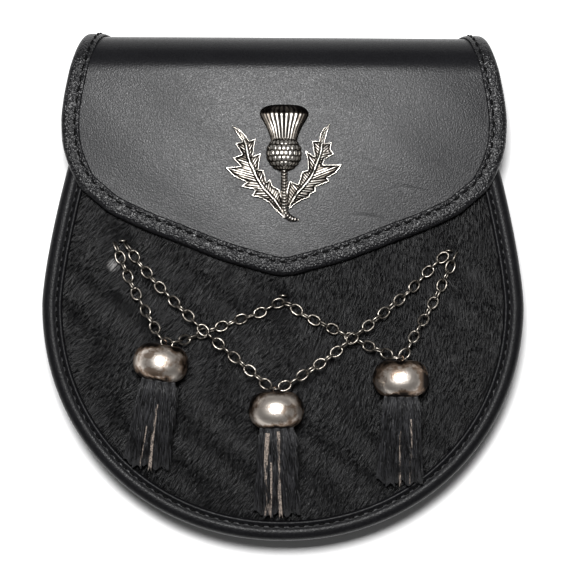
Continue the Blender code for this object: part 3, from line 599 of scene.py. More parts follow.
@dataclass(frozen=True)
class Leather:
    """Chrome-tanned cowhide: fine pebbles between creases, waxed so that its high points shine."""

    name: str
    low: str
    high: str
    grain: float
    grain_depth: float
    rough: tuple[float, float]
    wrinkle: float = 0.5
    specular: float = 0.5
    pore: float = 0.0
    cut: str = ""
    fold_scale: float = 140.0
    patch_scale: float = 45.0
    pore_scale: float = 1600.0
    pore_dulling: float = 0.13

    def make(self) -> bpy.types.Material:
        """The material: rounded pebbles with wrinkles and rubbed patches; cut edges stay undyed."""
        material, tree, place = start_material(self.name)
        drift = put(tree, "ShaderNodeTexNoise", {"Vector": place, "Scale": 0.5 / self.grain,
                                                 "Detail": 2.0})
        moved = put(tree, "ShaderNodeVectorMath", {
            0: drift.outputs["Color"], 1: (self.grain * 0.9,) * 3}, operation="MULTIPLY")
        bent = put(tree, "ShaderNodeVectorMath", {0: place, 1: moved.outputs[0]}, operation="ADD")
        cells = put(tree, "ShaderNodeTexVoronoi", {
            "Vector": bent.outputs[0], "Scale": 1 / self.grain, "Smoothness": 0.5},
            feature="SMOOTH_F1")
        pebble = remap(tree, cells.outputs["Distance"], (0.1, 0.75), (1.0, 0.0))
        height = blend(tree, self.wrinkle, pebble, noise(tree, place, self.fold_scale, 4.0, 0.6))
        tone = blend(tree, 0.45, noise(tree, place, self.patch_scale, 3.0), pebble)
        colour = ramp(tree, tone, (0.3, self.low), (0.75, self.high))
        rough = remap(tree, tone, (0.3, 0.8), self.rough[::-1])
        if self.pore:
            fine = noise(tree, place, self.pore_scale, 2.0, 0.8)
            height = reckon(tree, "MULTIPLY_ADD", fine, self.pore / self.grain_depth, height)
            shift = remap(tree, fine, (0.2, 0.8), (-self.pore_dulling, self.pore_dulling))
            rough = reckon(tree, "ADD", rough, shift)
        if self.cut:
            bare = blend_colours(tree, pebble, linear(self.cut), colour)
            colour = blend_colours(tree, marked(tree, "raw"), colour, bare)
        end_material(tree, colour, rough, height, self.grain_depth,
                     Specular_IOR_Level=self.specular, IOR=1.5)
        return material


@dataclass(frozen=True)
class Metal:
    """Plated metal, antiqued: dark oxide stays low and in patches, high points are buffed; some
    pieces also carry painted shade and painted highlights in their colour.
    """

    name: str
    bright: str
    warm: str
    oxide: str
    rough: tuple[float, float]
    patch: float = 180.0
    # Whether colour reads the mesh's attribute, which holds buffed high points, oxide in hollows,
    # painted shade and painted highlights.
    recess: bool = False
    stain: float = 0.3
    cover: tuple[float, float] = (0.42, 0.62)
    dent: float = 0.00004
    dent_scale: float = 1400.0

    def make(self) -> bpy.types.Material:
        """The material: colour follows the mesh's attribute of polish and painted shade where there
        is one, else patches.
        """
        material, tree, place = start_material(self.name)
        stain = noise(tree, place, self.patch, 5.0, 0.62)
        mixed = remap(tree, stain, self.cover)
        # Painted shade and highlight: the mesh's attribute lightens or darkens the colour by how
        # each part faces, on top of the oxide patches.
        if self.recess:
            amount = reckon(tree, "MULTIPLY_ADD", mixed, self.stain, -0.4 * self.stain)
            mixed = reckon(tree, "ADD", marked(tree, "recess"), amount, clamp=True)
        colour = ramp(tree, mixed, (0.12, self.oxide), (0.8, self.bright), (0.45, self.warm))
        dull = remap(tree, mixed, wanted=self.rough[::-1])
        bump = blend(tree, 0.4, stain, noise(tree, place, self.dent_scale, 2.0))
        end_material(tree, colour, dull, bump, self.dent, Metallic=1.0)
        return material


@dataclass(frozen=True)
class Hair:
    """Dyed hair: each strand is nearly black with a gloss along it."""

    name: str
    dark: str
    light: str
    # Colour of a painted highlight: a pale spot that stands for light caught on a hair tuft.
    worn: str
    painted_glint_at: tuple[float, float, float] = (-0.0702, 0.0088, 0.0360)
    painted_glint_reach: float = 0.0038
    roughness: float = 0.40
    specular: float = 0.5
    strand_scale: float = 900.0
    strand_depth: float = 0.00003
    lock_scale: float = 85.0

    def make(self) -> bpy.types.Material:
        """The material: each strand's own tone, lighter and darker locks, and a painted highlight:
        a pale spot where a tuft catches light.
        """
        material, tree, place = start_material(self.name)
        strand = noise(tree, place, self.strand_scale, 1.0)
        lock = noise(tree, place, self.lock_scale, 2.0)
        tone = blend(tree, 0.45, marked(tree, "tone"), lock)
        base = ramp(tree, tone, (0.3, self.dark), (0.85, self.light))
        # Painted highlight: a pale spot, broken up by the strand noise, where a tuft catches the
        # light.
        away = put(tree, "ShaderNodeVectorMath", {0: place, 1: self.painted_glint_at}, operation="DISTANCE")
        near = remap(tree, away.outputs["Value"], (self.painted_glint_reach, 0.3 * self.painted_glint_reach),
                     (0.0, 1.5))
        rubbed = reckon(tree, "MULTIPLY", near, strand)
        colour = blend_colours(tree, rubbed, base, linear(self.worn))
        dull = remap(tree, lock, wanted=(self.roughness - 0.08, self.roughness + 0.12))
        end_material(tree, colour, dull, strand, self.strand_depth,
                     Specular_IOR_Level=self.specular)
        return material


class Finish:
    """The finishes of all the pieces, each made once."""

    def __init__(self) -> None:
        """Makes the materials."""
        self.flap = Leather(
            "Smooth finished calf leather, black", "#131315", "#1C1C1E", 0.0006, 0.00003,
            (0.26, 0.33), wrinkle=0.2, specular=0.115, pore=0.00006).make()
        self.hem = Leather(
            "Pebble-embossed cow leather, black", "#0A0A0C", "#1C1C1E", 0.0008, 0.00026,
            (0.26, 0.40), wrinkle=0.12, specular=0.30, pore=0.00004).make()
        self.border = Leather(
            "Rolled and glazed goat leather, black", "#0B0B0D", "#161618", 0.0008, 0.00007,
            (0.34, 0.46), wrinkle=0.3, specular=0.14, pore=0.00004).make()
        self.back = Leather(
            "Box side leather, black", "#151517", "#262628", 0.0009, 0.00009,
            (0.42, 0.58), wrinkle=0.4).make()
        self.gusset = Leather(
            "Soft garment leather, black", "#121214", "#222224", 0.0008, 0.00010,
            (0.40, 0.55), wrinkle=0.6).make()
        self.thread = Leather(
            "Waxed bonded nylon thread, black", "#040404", "#0C0C0D", 0.0003, 0.00006,
            (0.5, 0.7), wrinkle=0.2, specular=0.08).make()
        # Each hair finish's third colour is a painted highlight: a pale spot for light caught on a
        # tuft beside the left staple.
        self.fur = Hair(
            "Black cattle hair", "#030304", "#1E1E20", "#C9C7C5", specular=0.30).make()
        self.long_hair = Hair(
            "Black goat hair", "#030304", "#3C3C3F", "#3C3C3F", specular=0.5).make()
        self.skin = Hair(
            "Dyed flesh under cattle hair", "#030304", "#080809", "#1A1918",
            roughness=0.7, specular=0.1).make()
        self.fringe = Leather(
            "Split hair-on hide, dyed black", "#0C0C0E", "#1F1F22", 0.0006, 0.00010,
            (0.5, 0.7), wrinkle=0.5, cut="#94877D").make()
        # The badge's and the heads' colours also carry painted shade and painted highlights from
        # their meshes' attribute.
        self.badge = Metal(
            "Antique silver plate on a zinc casting", "#D9D4CD", "#5F5952", "#0E0C0B",
            (0.30, 0.5), recess=True).make()
        self.head = Metal(
            "Tarnished silver plate on spun brass", "#E4DAD0", "#927D6C", "#1C1613",
            (0.36, 0.50), patch=120.0, dent=0.00020, recess=True, stain=0.75).make()
        self.chain = Metal(
            "Gunmetal-plated steel wire", "#958F87", "#5C5751", "#211E1C",
            (0.32, 0.48), patch=700.0, cover=(0.30, 0.60)).make()
        self.fitting = Metal(
            "Nickel-plated steel, worn", "#CFCAC4", "#8E8882", "#4A4542",
            (0.26, 0.42), patch=300.0, cover=(0.26, 0.5)).make()


# Geometry Nodes
def tree_with(name: str, inputs: dict[str, str]) -> tuple[Tree, dict]:
    """A Geometry Nodes tree with named inputs.

    Args:
        name: Its name.
        inputs: The kind of each input after the geometry, by its name.

    Returns:
        The tree and its inputs' sockets.
    """
    tree = bpy.data.node_groups.new(name, "GeometryNodeTree")
    tree.interface.new_socket("Geometry", in_out="INPUT", socket_type="NodeSocketGeometry")
    for label, kind in inputs.items():
        tree.interface.new_socket(label, in_out="INPUT", socket_type=f"NodeSocket{kind}")
    tree.interface.new_socket("Geometry", in_out="OUTPUT", socket_type="NodeSocketGeometry")
    return tree, put(tree, "NodeGroupInput").outputs


def named(tree: Tree, name: str, kind: str = "FLOAT") -> Socket:
    """An attribute of the geometry."""
    return put(tree, "GeometryNodeInputNamedAttribute", {"Name": name}, data_type=kind).outputs[0]


def chance(tree: Tree, low: float | Socket, high: float | Socket, seed: Socket) -> Socket:
    """A random number for each point."""
    return put(tree, "FunctionNodeRandomValue", {2: low, 3: high, "Seed": seed},
               data_type="FLOAT").outputs[1]


def set_items(tree: Tree, take: dict, points: Socket, frame: Socket, turn: Socket,
              **others: Socket) -> Socket:
    """Puts the item on each point.

    Args:
        tree: The node tree.
        take: The tree's inputs.
        points: The points.
        frame: The way that each item lies.
        turn: Angles that it is turned by in that frame.
        others: Other inputs of the instances.

    Returns:
        The instances.
    """
    local = put(tree, "FunctionNodeEulerToRotation", {0: turn})
    posed = put(tree, "FunctionNodeRotateRotation", {0: frame, 1: local.outputs[0]},
                rotation_space="LOCAL")
    item = put(tree, "GeometryNodeObjectInfo", {"Object": take["Item"]})
    return put(tree, "GeometryNodeInstanceOnPoints", {
        "Points": points, "Instance": item.outputs["Geometry"], "Rotation": posed.outputs[0],
        **others}).outputs[0]


def end_tree(tree: Tree, take: dict, items: Socket) -> Tree:
    """Makes the items real, gives them their material and ends the tree."""
    real = put(tree, "GeometryNodeRealizeInstances", {0: items})
    dressed = put(tree, "GeometryNodeSetMaterial", {"Geometry": real.outputs[0],
                                                    "Material": take["Material"]})
    put(tree, "NodeGroupOutput", {0: dressed.outputs[0]})
    return tree


def coat_tree() -> Tree:
    """Strands all over a surface, lying along its lay attribute, each with its own tone."""
    tree, take = tree_with("Hair coat", {
        "Item": "Object", "Density": "Float", "Seed": "Int", "Spread": "Float", "Clump": "Float",
        "Clump size": "Float", "Lift": "Float", "Shortest": "Float", "Longest": "Float",
        "Material": "Material"})
    seed = take["Seed"]
    points = put(tree, "GeometryNodeDistributePointsOnFaces", {
        "Mesh": take["Geometry"], "Seed": seed,
        "Density": reckon(tree, "MULTIPLY", take["Density"], named(tree, "grow"))})
    frame = put(tree, "FunctionNodeAxesToRotation", {
        0: points.outputs["Normal"], 1: named(tree, "lay", "FLOAT_VECTOR")},
        primary_axis="Z", secondary_axis="X")
    stray = chance(tree, reckon(tree, "MULTIPLY", take["Spread"], -1.0), take["Spread"], seed)
    where = put(tree, "GeometryNodeInputPosition").outputs[0]
    lock = noise(tree, where, reckon(tree, "DIVIDE", 1.0, take["Clump size"]), 1.5)
    swing = reckon(tree, "MULTIPLY", remap(tree, lock, (0.3, 0.7), (-1.0, 1.0)), take["Clump"])
    angle = reckon(tree, "ADD", stray, swing)
    other_seed = reckon(tree, "ADD", seed, 7.0)
    rise = chance(tree, reckon(tree, "MULTIPLY", take["Lift"], -1.0), 0.0, other_seed)
    turn = put(tree, "ShaderNodeCombineXYZ", {1: rise, 2: angle}).outputs[0]
    size = chance(tree, take["Shortest"], take["Longest"], seed)
    strands = set_items(tree, take, points.outputs["Points"], frame.outputs[0], turn, Scale=size)
    dyed = put(tree, "GeometryNodeStoreNamedAttribute", {
        "Geometry": strands, "Name": "tone", "Value": chance(tree, 0.0, 1.0, other_seed)},
        data_type="FLOAT", domain="INSTANCE")
    return end_tree(tree, take, dyed.outputs[0])


def row_tree() -> Tree:
    """Items along a path, each turned on from the last, with their tops to its face attribute."""
    tree, take = tree_with("Row along a path", {
        "Item": "Object", "Count": "Int", "Turn": "Float", "Jitter": "Float", "Seed": "Int",
        "Material": "Material"})
    curve = put(tree, "GeometryNodeMeshToCurve", {0: take["Geometry"]})
    spaced = put(tree, "GeometryNodeResampleCurve", {"Curve": curve.outputs[0],
                                                     "Count": take["Count"]})
    along = put(tree, "GeometryNodeInputTangent").outputs[0]
    frame = put(tree, "FunctionNodeAxesToRotation", {
        0: along, 1: named(tree, "face", "FLOAT_VECTOR")}, primary_axis="X", secondary_axis="Z")
    low = reckon(tree, "MULTIPLY", take["Jitter"], -1.0)
    stray = chance(tree, low, take["Jitter"], take["Seed"])
    number = put(tree, "GeometryNodeInputIndex").outputs[0]
    twist = reckon(tree, "MULTIPLY_ADD", number, take["Turn"], stray)
    turn = put(tree, "ShaderNodeCombineXYZ", {0: twist, 2: reckon(tree, "MULTIPLY", stray, 0.25)})
    items = set_items(tree, take, spaced.outputs[0], frame.outputs[0], turn.outputs[0])
    return end_tree(tree, take, items)


class Repeat(Enum):
    """The ways to repeat an item."""

    COAT = "Hair coat"
    ROW = "Row along a path"

    def tree(self) -> Tree:
        """Its node tree, built when first asked for."""
        build = coat_tree if self is Repeat.COAT else row_tree
        return bpy.data.node_groups.get(self.value) or build()


def grown(mesh: bpy.types.Mesh, item: bpy.types.Mesh, way: Repeat,
          values: dict[str, object]) -> bpy.types.Mesh:
    """Repeats an item on a mesh and gives back the result as a plain mesh.

    Args:
        mesh: The surface or the path.
        item: The mesh that is repeated.
        way: How it is repeated.
        values: A value for each other input by name.

    Returns:
        The plain mesh.
    """
    tree = way.tree()
    host, seed = (bpy.data.objects.new(f"{tree.name} {kind}", data)
                  for kind, data in (("host", mesh), ("item", item)))
    for thing in (host, seed):
        bpy.context.scene.collection.objects.link(thing)
    run = host.modifiers.new("Run", "NODES")
    run.node_group = tree
    names = {s.name: s.identifier for s in tree.interface.items_tree if s.in_out == "INPUT"}
    for label, value in {**values, "Item": seed}.items():
        run[names[label]] = value
    bpy.context.view_layer.update()
    result = host.evaluated_get(bpy.context.evaluated_depsgraph_get())
    made = bpy.data.meshes.new_from_object(result)
    host.modifiers.remove(run)
    for thing in (host, seed):
        bpy.data.objects.remove(thing)
    made.shade_smooth()
    return made


def path_mesh(line: np.ndarray, face: np.ndarray) -> bpy.types.Mesh:
    """A line as edges, with the way that its upper side faces."""
    mesh = bpy.data.meshes.new("path")
    mesh.from_pydata(line.tolist(), [(i, i + 1) for i in range(len(line) - 1)], [])
    return mark(mesh, "face", np.broadcast_to(face, line.shape))


@dataclass
class Stitching:
    """Lock stitches of waxed thread that dip into their holes."""

    pitch: float
    thread: float = 0.00085
    share: float = 0.58
    sag: float = 0.00028
    lift: float = 0.00012
    hole: float = 0.0002

    def item(self) -> bpy.types.Mesh:
        """One stitch along +X, arched with its ends let in."""
        shares = np.linspace(-1, 1, 9)
        line = np.stack([shares * self.pitch * self.share / 2, np.zeros_like(shares),
                         self.sag * (1 - 2.6 * np.abs(shares) ** 4)], 1)
        radius = self.thread / 2 * (1 - 0.35 * np.abs(shares) ** 3)
        return tube("stitch", line, radius, 6)

    def drawn_in(self, seam: np.ndarray, profile: np.ndarray, sewn: int,
                 groove: tuple[float, float]) -> np.ndarray:
        """Heights of a binding's profile, which the thread draws in at each hole.

        Args:
            seam: Points of the seam, one for each section of the binding.
            profile: Rows of distance outwards and height.
            sewn: How many of its first rows are the upper side.
            groove: Where the seam lies across the profile, and how wide it draws in.

        Returns:
            Rows of heights, one row for each section.
        """
        arc = arc_of(seam)
        turns = arc / arc[-1] * (max(round(arc[-1] / self.pitch), 2) - 1)
        holes = 0.5 - 0.5 * np.cos(2 * math.pi * turns)
        near = ridge(profile[:, 0], *groove)
        near[sewn:] = 0
        return profile[:, 1] - near * self.hole * (holes[:, None] ** 3)

    def make(self, name: str, line: np.ndarray, face: np.ndarray, material: bpy.types.Material,
             slot: Slot) -> bpy.types.Object:
        """A seam along a line.

        Args:
            name: The piece's name.
            line: Points of the seam on the leather.
            face: The leather's normals there.
            material: The thread.
            slot: Not used.

        Returns:
            The piece.
        """
        count = max(round(reach_of(line) / self.pitch), 2)
        mesh = grown(path_mesh(line, face), self.item(), Repeat.ROW, {
            "Count": count, "Turn": 0.0, "Jitter": 0.05, "Seed": 5, "Material": material})
        return add_piece(name, mesh, material)


def bound(name: str, outline: np.ndarray, profile: np.ndarray,
          level: Callable[[np.ndarray, np.ndarray], np.ndarray]) -> bpy.types.Mesh:
    """A binding along a flat outline.

    Args:
        name: The mesh's name.
        outline: Points along it.
        profile: Rows of distance outwards and height above a level, for each point or for all.
        level: The surface's level at x, y.

    Returns:
        The closed mesh.
    """
    outwards = -left_of(outline)
    rows = np.broadcast_to(profile, (len(outline), *profile.shape[-2:]))
    flat = outline[:, None] + outwards[:, None] * rows[..., :1]
    high = level(flat[..., 0], flat[..., 1]) + rows[..., 1]
    return sweep(name, lifted(flat, high))


def rounded(knots: Sequence[Sequence[float]], count: int) -> np.ndarray:
    """An evenly spaced smooth line through knots given in millimetres."""
    return even(spline(np.asarray(knots) * MM, np.linspace(0, 1, 12 * count)), count)


# Places on the front: shares of the half width and of the front below the flap's tip
STAPLES = {"left": (-0.665, 0.128), "center": (0.0, -0.074), "right": (0.684, 0.099)}
# The same for the tassel heads, and how far each tassel leans in degrees
TASSELS = {"left": (-0.500, -0.328, -8.0), "center": (-0.025, -0.502, 1.0),
           "right": (0.486, -0.382, 0.0)}


@dataclass(frozen=True)
class Strand:
    """A lock of hair along +X: three-sided, risen at its middle and bent to one side."""

    length: float
    width: float
    # places along it: share of its length, of its width, of its bend, and its rise
    stations: tuple[tuple[float, float, float, float], ...] = (
        (0.0, 0.7, 0.0, -0.03), (0.36, 1.0, 0.13, 0.045), (0.72, 0.8, 0.5, 0.06))
    end_rise: float = 0.045

    def mesh(self, bend: float) -> bpy.types.Mesh:
        """The lock, with its end to one side by a share of its length."""
        points = []
        for share, wide, side, rise in self.stations:
            x, y, z = share * self.length, side * bend * self.length, rise * self.length
            reach = self.width / 2 * wide
            points += [(x, y - reach, z), (x, y + reach, z), (x, y, z + 1.1 * reach)]
        points.append((self.length, bend * self.length, self.end_rise * self.length))
        faces = [(0, 1, 2)] + grid_faces(3, 3, ring=True)
        faces += [(6 + i, 6 + (i + 1) % 3, 9) for i in range(3)]
        return new_mesh("strand", np.array(points), faces)


@dataclass
class Front:
    """The hair-on hide front, its rolled border and the border's seam."""

    finish: Finish
    skin_drop: float = 0.0010
    swell: float = 0.00024
    dimple: float = 0.0016
    dimple_reach: float = 0.0060
    rings: int = 44
    around: int = 240
    strands: int = 11800
    strand: Strand = Strand(0.0078, 0.00028)
    bends: tuple[float, ...] = (-0.08, 0.0, 0.09)
    bed_area: float = 0.0182
    under_flap: float = 0.006
    root_margin: float = 0.0070
    tip_margin: float = 0.0035
    sections: int = 760
    groove: tuple[float, float] = (-0.0043, 0.00075)
    groove_high: float = 0.00150
    pitch: float = 0.00415
    # across, up in mm, and the way that the hair points there in degrees
    lay: tuple[tuple[float, float, float], ...] = (
        (-84, -22, 217), (-78, 8, 221), (-60, -35, 222), (-48, -72, 228), (-22, -8, 230),
        (0, -42, 236), (-5, -88, 240), (30, -6, 250), (46, -50, 243), (62, 8, 274), (86, -8, 268),
        (58, -78, 234))
    # out from the panel's edge and up from the fur in mm
    border: tuple[tuple[float, float], ...] = (
        (-6.7, 0.3), (-6.62, 1.1), (-6.2, 1.9), (-5.68, 2.12), (-5.15, 1.95), (-4.75, 1.62),
        (-4.3, 1.5), (-3.8, 1.62), (-3.2, 1.98), (-2.3, 2.34), (-1.2, 2.38), (-0.1, 2.1),
        (0.85, 1.45), (1.45, 0.45), (1.76, -0.8), (1.8, -2.2), (1.78, -3.5), (1.5, -4.3),
        (0.9, -4.75))
    border_under: tuple[tuple[float, float], ...] = (
        (-2.2, -4.8), (-2.2, -3.3), (0.3, -3.3), (0.3, 0.3))

    def skin_level(self, x: np.ndarray, y: np.ndarray) -> np.ndarray:
        """Level of the skin under the hair, let in round each staple."""
        level = FORM.front(x, y) - self.skin_drop
        waves = np.sin(x * 260 + y * 190 + 2 * np.sin(y * 95)) + np.sin(x * 390 - y * 150)
        level = level + self.swell * waves
        for share in STAPLES.values():
            place = FORM.place(*share)
            away = ((x - place[0]) ** 2 + (y - place[1]) ** 2) / self.dimple_reach ** 2
            level = level - self.dimple * np.exp(-away)
        return level

    def disc(self) -> np.ndarray:
        """Flat rings of points from the edge to near the middle."""
        outline = FORM.outline(FORM.panel_inset, FORM.mouth, self.around - 20)
        mouth = np.linspace(outline[-1], outline[0], 22)[1:-1]
        edge = np.concatenate([outline, mouth])
        middle = np.array((0.0, (FORM.widest + FORM.mouth) / 3))
        shares = np.linspace(1, 0.01, self.rings)[:, None, None]
        return middle + (edge - middle) * shares

    def hem_level(self, x: np.ndarray) -> np.ndarray:
        """How far up the flap's edge lies at each x."""
        across, down = np.array(FLAP_EDGE[3:][::-1]).T
        levels = FORM.fold - down * (FORM.fold - FORM.tip)
        return np.interp(np.abs(x), across * FORM.flap_half, levels)

    def build_skin(self) -> None:
        """The hide under the hair."""
        disc = self.disc()
        rings, around = disc.shape[:2]
        count = rings * around
        high = self.skin_level(disc[..., 0], disc[..., 1])
        low = FORM.front(disc[..., 0], disc[..., 1]) - FORM.front_wall
        points = [lifted(disc, level).reshape(-1, 3) for level in (high, low)]
        faces = grid_faces(rings, around, ring=True)
        faces += grid_faces(rings, around, count, ring=True, flip=True)
        faces += [tuple(range(count - around, count)),
                  tuple(range(2 * count - around, 2 * count))[::-1]]
        faces += [(s, (s + 1) % around, count + (s + 1) % around, count + s) for s in range(around)]
        mesh = new_mesh("front_hide", np.concatenate(points), faces)
        add_piece("front_hide", mesh, self.finish.skin, ("front_panel",))

    def build_fur(self) -> None:
        """The hair, as many strands in each of three bends."""
        disc = self.disc()
        x, y = disc[..., 0], disc[..., 1]
        spots = np.array(self.lay)
        away = (x[..., None] - spots[:, 0] * MM) ** 2 + (y[..., None] - spots[:, 1] * MM) ** 2
        weight = 1 / (away + 1e-5)
        turn = np.radians(spots[:, 2])
        lay = unit(np.stack([(weight * np.cos(turn)).sum(-1), (weight * np.sin(turn)).sum(-1),
                             np.zeros_like(x)], -1))
        edge = FORM.outline(0, FORM.mouth, 400)
        inside = np.min(np.linalg.norm(disc[:, :, None] - edge, axis=-1), axis=-1)
        tips = disc + lay[..., :2] * self.strand.length
        half_at = np.interp(tips[..., 1], edge[200:, 1], edge[200:, 0])
        kept = away_from(tips, edge[::4]) * np.sign(half_at - np.abs(tips[..., 0]))
        grow = ((y < self.hem_level(x) + self.under_flap) & (inside > self.root_margin)
                & (kept > self.tip_margin)).astype(float)
        points = lifted(disc, self.skin_level(x, y))
        faces = grid_faces(*disc.shape[:2], ring=True)
        for number, bend in enumerate(self.bends):
            top = new_mesh("fur_bed", points, faces, outwards=False)
            if top.polygons[0].normal.z < 0:
                top.flip_normals()
            mark(mark(top, "lay", lay), "grow", grow)
            mesh = grown(top, self.strand.mesh(bend), Repeat.COAT, {
                "Density": self.strands / self.bed_area, "Seed": 11 + number, "Spread": 0.10,
                "Clump": 0.22, "Clump size": 0.015, "Lift": 0.05, "Shortest": 0.6, "Longest": 1.1,
                "Material": self.finish.fur})
            add_piece(f"front_fur_{number + 1}", mesh, self.finish.fur)

    def build_border(self) -> None:
        """The rolled border, drawn in at each stitch hole, with its seam."""
        outline = FORM.outline(FORM.panel_inset, FORM.mouth, self.sections)
        upper = rounded(self.border, 32)
        profile = np.concatenate([upper, np.array(self.border_under) * MM])
        seam = outline - left_of(outline) * self.groove[0]
        stitching = Stitching(self.pitch)
        high = stitching.drawn_in(seam, profile, len(upper), self.groove)
        rows = np.stack([np.broadcast_to(profile[:, 0], high.shape), high], -1)
        add_piece("front_border", bound("front_border", outline, rows, FORM.front),
                  self.finish.border, ("front_binding",))
        line = np.stack([*seam.T, FORM.front(*seam.T) + self.groove_high + stitching.lift], 1)
        stitching.make("front_border_seam", line, (0, 0, 1), self.finish.thread, Slot.BINDING)

    def build(self) -> None:
        """The hide, its hair and its border."""
        self.build_skin()
        self.build_fur()
        self.build_border()


# The flap's edge from the fold to the tip: shares of its half width and of its front's length
FLAP_EDGE = (
    (0.967, 0.000), (0.987, 0.110), (0.998, 0.200), (1.000, 0.260), (0.994, 0.355), (0.976, 0.433),
    (0.945, 0.514), (0.910, 0.578), (0.855, 0.631), (0.796, 0.686), (0.738, 0.721), (0.618, 0.781),
    (0.518, 0.822), (0.400, 0.873), (0.282, 0.922), (0.146, 0.965), (0.058, 0.991), (0.000, 1.000))


@dataclass
class Flap:
    """The flap, folded over the mouth, in its narrow stitched binding."""

    finish: Finish
    corner: int = 9
    columns: int = 121
    front_rows: int = 96
    fold_rows: int = 30
    tail_rows: int = 8
    binding_turn: float = 0.75 * math.pi
    sections: int = 640
    pitch: float = 0.00445
    groove: tuple[float, float] = (-0.0044, 0.0007)
    groove_high: float = 0.00108
    swell: float = 0.00012
    crease_bow: float = 0.10
    # start and end in mm, depth and half width in mm
    creases: tuple[tuple[float, float, float, float, float, float], ...] = (
        (20, 46, 33, 31, 0.08, 0.7), (33, 50, 52, 37, 0.10, 0.8), (45, 42, 68, 33, 0.09, 0.7),
        (27, 30, 49, 23, 0.10, 0.7), (58, 52, 76, 46, 0.06, 0.9), (38, 38, 46, 30, 0.07, 0.6))
    binding: tuple[tuple[float, float], ...] = (
        (-6.4, 0.3), (-6.36, 0.85), (-6.1, 1.2), (-5.6, 1.3), (-5.05, 1.2), (-4.4, 1.08),
        (-3.8, 1.18), (-3.0, 1.3), (-1.6, 1.32), (-0.4, 1.2), (0.55, 0.75), (1.12, 0.0),
        (1.3, -0.9), (1.18, -1.8), (0.72, -2.6), (0.0, -3.0))
    binding_under: tuple[tuple[float, float], ...] = (
        (-6.4, -3.1), (-6.4, -2.1), (0.3, -2.1), (0.3, 0.3))

    def fold_half(self, turn: np.ndarray) -> np.ndarray:
        """The flap's half width round its fold."""
        side = FLAP_EDGE[0][0] * FORM.flap_half
        front = FORM.fold_half + (side - FORM.fold_half) * (1 - np.sin(turn)).clip(0) ** 0.6
        behind = FORM.fold_half + (FORM.tail_half - FORM.fold_half) * (turn / (math.pi / 2) - 1)
        return np.where(turn <= math.pi / 2, front, behind)

    def front_grid(self) -> np.ndarray:
        """Flat points of the flap's front, rows from the fold down and columns across."""
        length = FORM.fold - FORM.tip
        rows = np.array([(a * FORM.flap_half, FORM.fold - d * length) for a, d in FLAP_EDGE])
        line = rows - left_of(rows) * FORM.flap_inset
        line[-1, 0] = 0
        fine = np.linspace(0, 1, 400)
        side = even(spline(line[:self.corner + 1], fine), self.front_rows)
        half = even(spline(line[self.corner:], fine), self.columns // 2 + 1)
        hem = np.concatenate([half * (-1, 1), half[-2::-1]])
        down = np.linspace(0, 1, self.front_rows)[:, None, None]
        s = np.linspace(0, 1, self.columns)[None, :, None]
        right, left = side[:, None], side[:, None] * (-1, 1)
        across = side[0, 0] * (2 * s[0, :, 0] - 1)
        top = np.stack([across, np.full(self.columns, FORM.fold)], -1)[None]
        lower = side[-1] * (-1, 1) * (1 - s) + side[-1] * s
        sides, ends = left * (1 - s) + right * s, top * (1 - down)
        return sides + (ends + hem[None] * down) - (ends + lower * down)

    def relief(self, x: np.ndarray, y: np.ndarray) -> np.ndarray:
        """Creases and soft swells of the leather."""
        high = self.swell * np.sin(x * 95 + 1.3 + 40 * y) * np.sin(y * 120 + 25 * x)
        for x0, y0, x1, y1, depth, width in np.array(self.creases) * MM:
            way = np.array((x1 - x0, y1 - y0))
            span = np.linalg.norm(way)
            along = ((x - x0) * way[0] + (y - y0) * way[1]) / span ** 2
            arch = np.sin(np.pi * np.clip(along, 0, 1))
            bow = self.crease_bow * span * arch
            off = ((y - y0) * way[0] - (x - x0) * way[1]) / span - bow
            fade = np.clip(arch, 0, 1) ** 0.7
            furrow = ridge(off, 0, width) - 0.45 * ridge(off, 1.9 * width, width)
            high = high - depth * fade * furrow
        return high

    def surface(self) -> np.ndarray:
        """The outer side from the tail round the fold to the lower edge."""
        flat = self.front_grid()
        high = FORM.flap(flat[..., 0], flat[..., 1]) + self.relief(flat[..., 0], flat[..., 1])
        front = lifted(flat, high)
        turn = np.linspace(math.pi, 0, self.fold_rows, endpoint=False)[:, None]
        across = np.linspace(-1, 1, self.columns)[None]
        x = across * (self.fold_half(turn) - FORM.flap_inset)
        start = FORM.flap(across * self.fold_half(np.zeros(1)), np.full((1, 1), FORM.fold))
        start = start + self.relief(front[0, :, 0], front[0, :, 1])[None] * (1 - turn / math.pi)
        middle, reach = (start + FORM.tail_face) / 2, (start - FORM.tail_face) / 2
        y = FORM.fold + FORM.fold_reach * np.sin(turn) + 0 * x
        fold = np.stack([x, y, middle + reach * np.cos(turn)], -1)
        back = np.linspace(FORM.tail, 0, self.tail_rows, endpoint=False)[:, None, None]
        tail = fold[:1] - back * np.array((0, 1, 0))
        return np.concatenate([tail, fold, front])

    def build_sheet(self) -> None:
        """The leather sheet."""
        mesh = shell("flap_sheet", self.surface(), FORM.flap_wall)
        add_piece("flap_sheet", mesh, self.finish.flap, ("flap",))

    def edge_walk(self) -> tuple[np.ndarray, np.ndarray, np.ndarray]:
        """Points, ways out and normals along the edge, from behind the fold round the tip."""
        grid = self.surface()
        skip = self.tail_rows + round(self.fold_rows * (1 - self.binding_turn / math.pi))
        rows = grid[skip:]
        on_fold = self.tail_rows + self.fold_rows - skip
        points = np.concatenate([rows[:, 0], rows[-1, 1:-1], rows[::-1, -1]])
        ways = np.concatenate([rows[:, 0] - rows[:, 1], rows[-1, 1:-1] - rows[-2, 1:-1],
                               (rows[:, -1] - rows[:, -2])[::-1]])
        along = unit(np.gradient(points, axis=0))
        normals = unit(np.cross(ways, along))
        outwards = unit(np.cross(along, normals))
        outwards[:on_fold], outwards[-on_fold:] = unit(ways)[:on_fold], unit(ways)[-on_fold:]
        walk = even(np.concatenate([points, 0.0001 * outwards, 0.0001 * normals], 1), self.sections)
        soft = np.stack([np.convolve(np.pad(axis, 4, "edge"), np.ones(9) / 9, "valid")
                         for axis in walk[:, 3:].T], 1)
        return walk[:, :3], unit(soft[:, :3]), unit(soft[:, 3:])

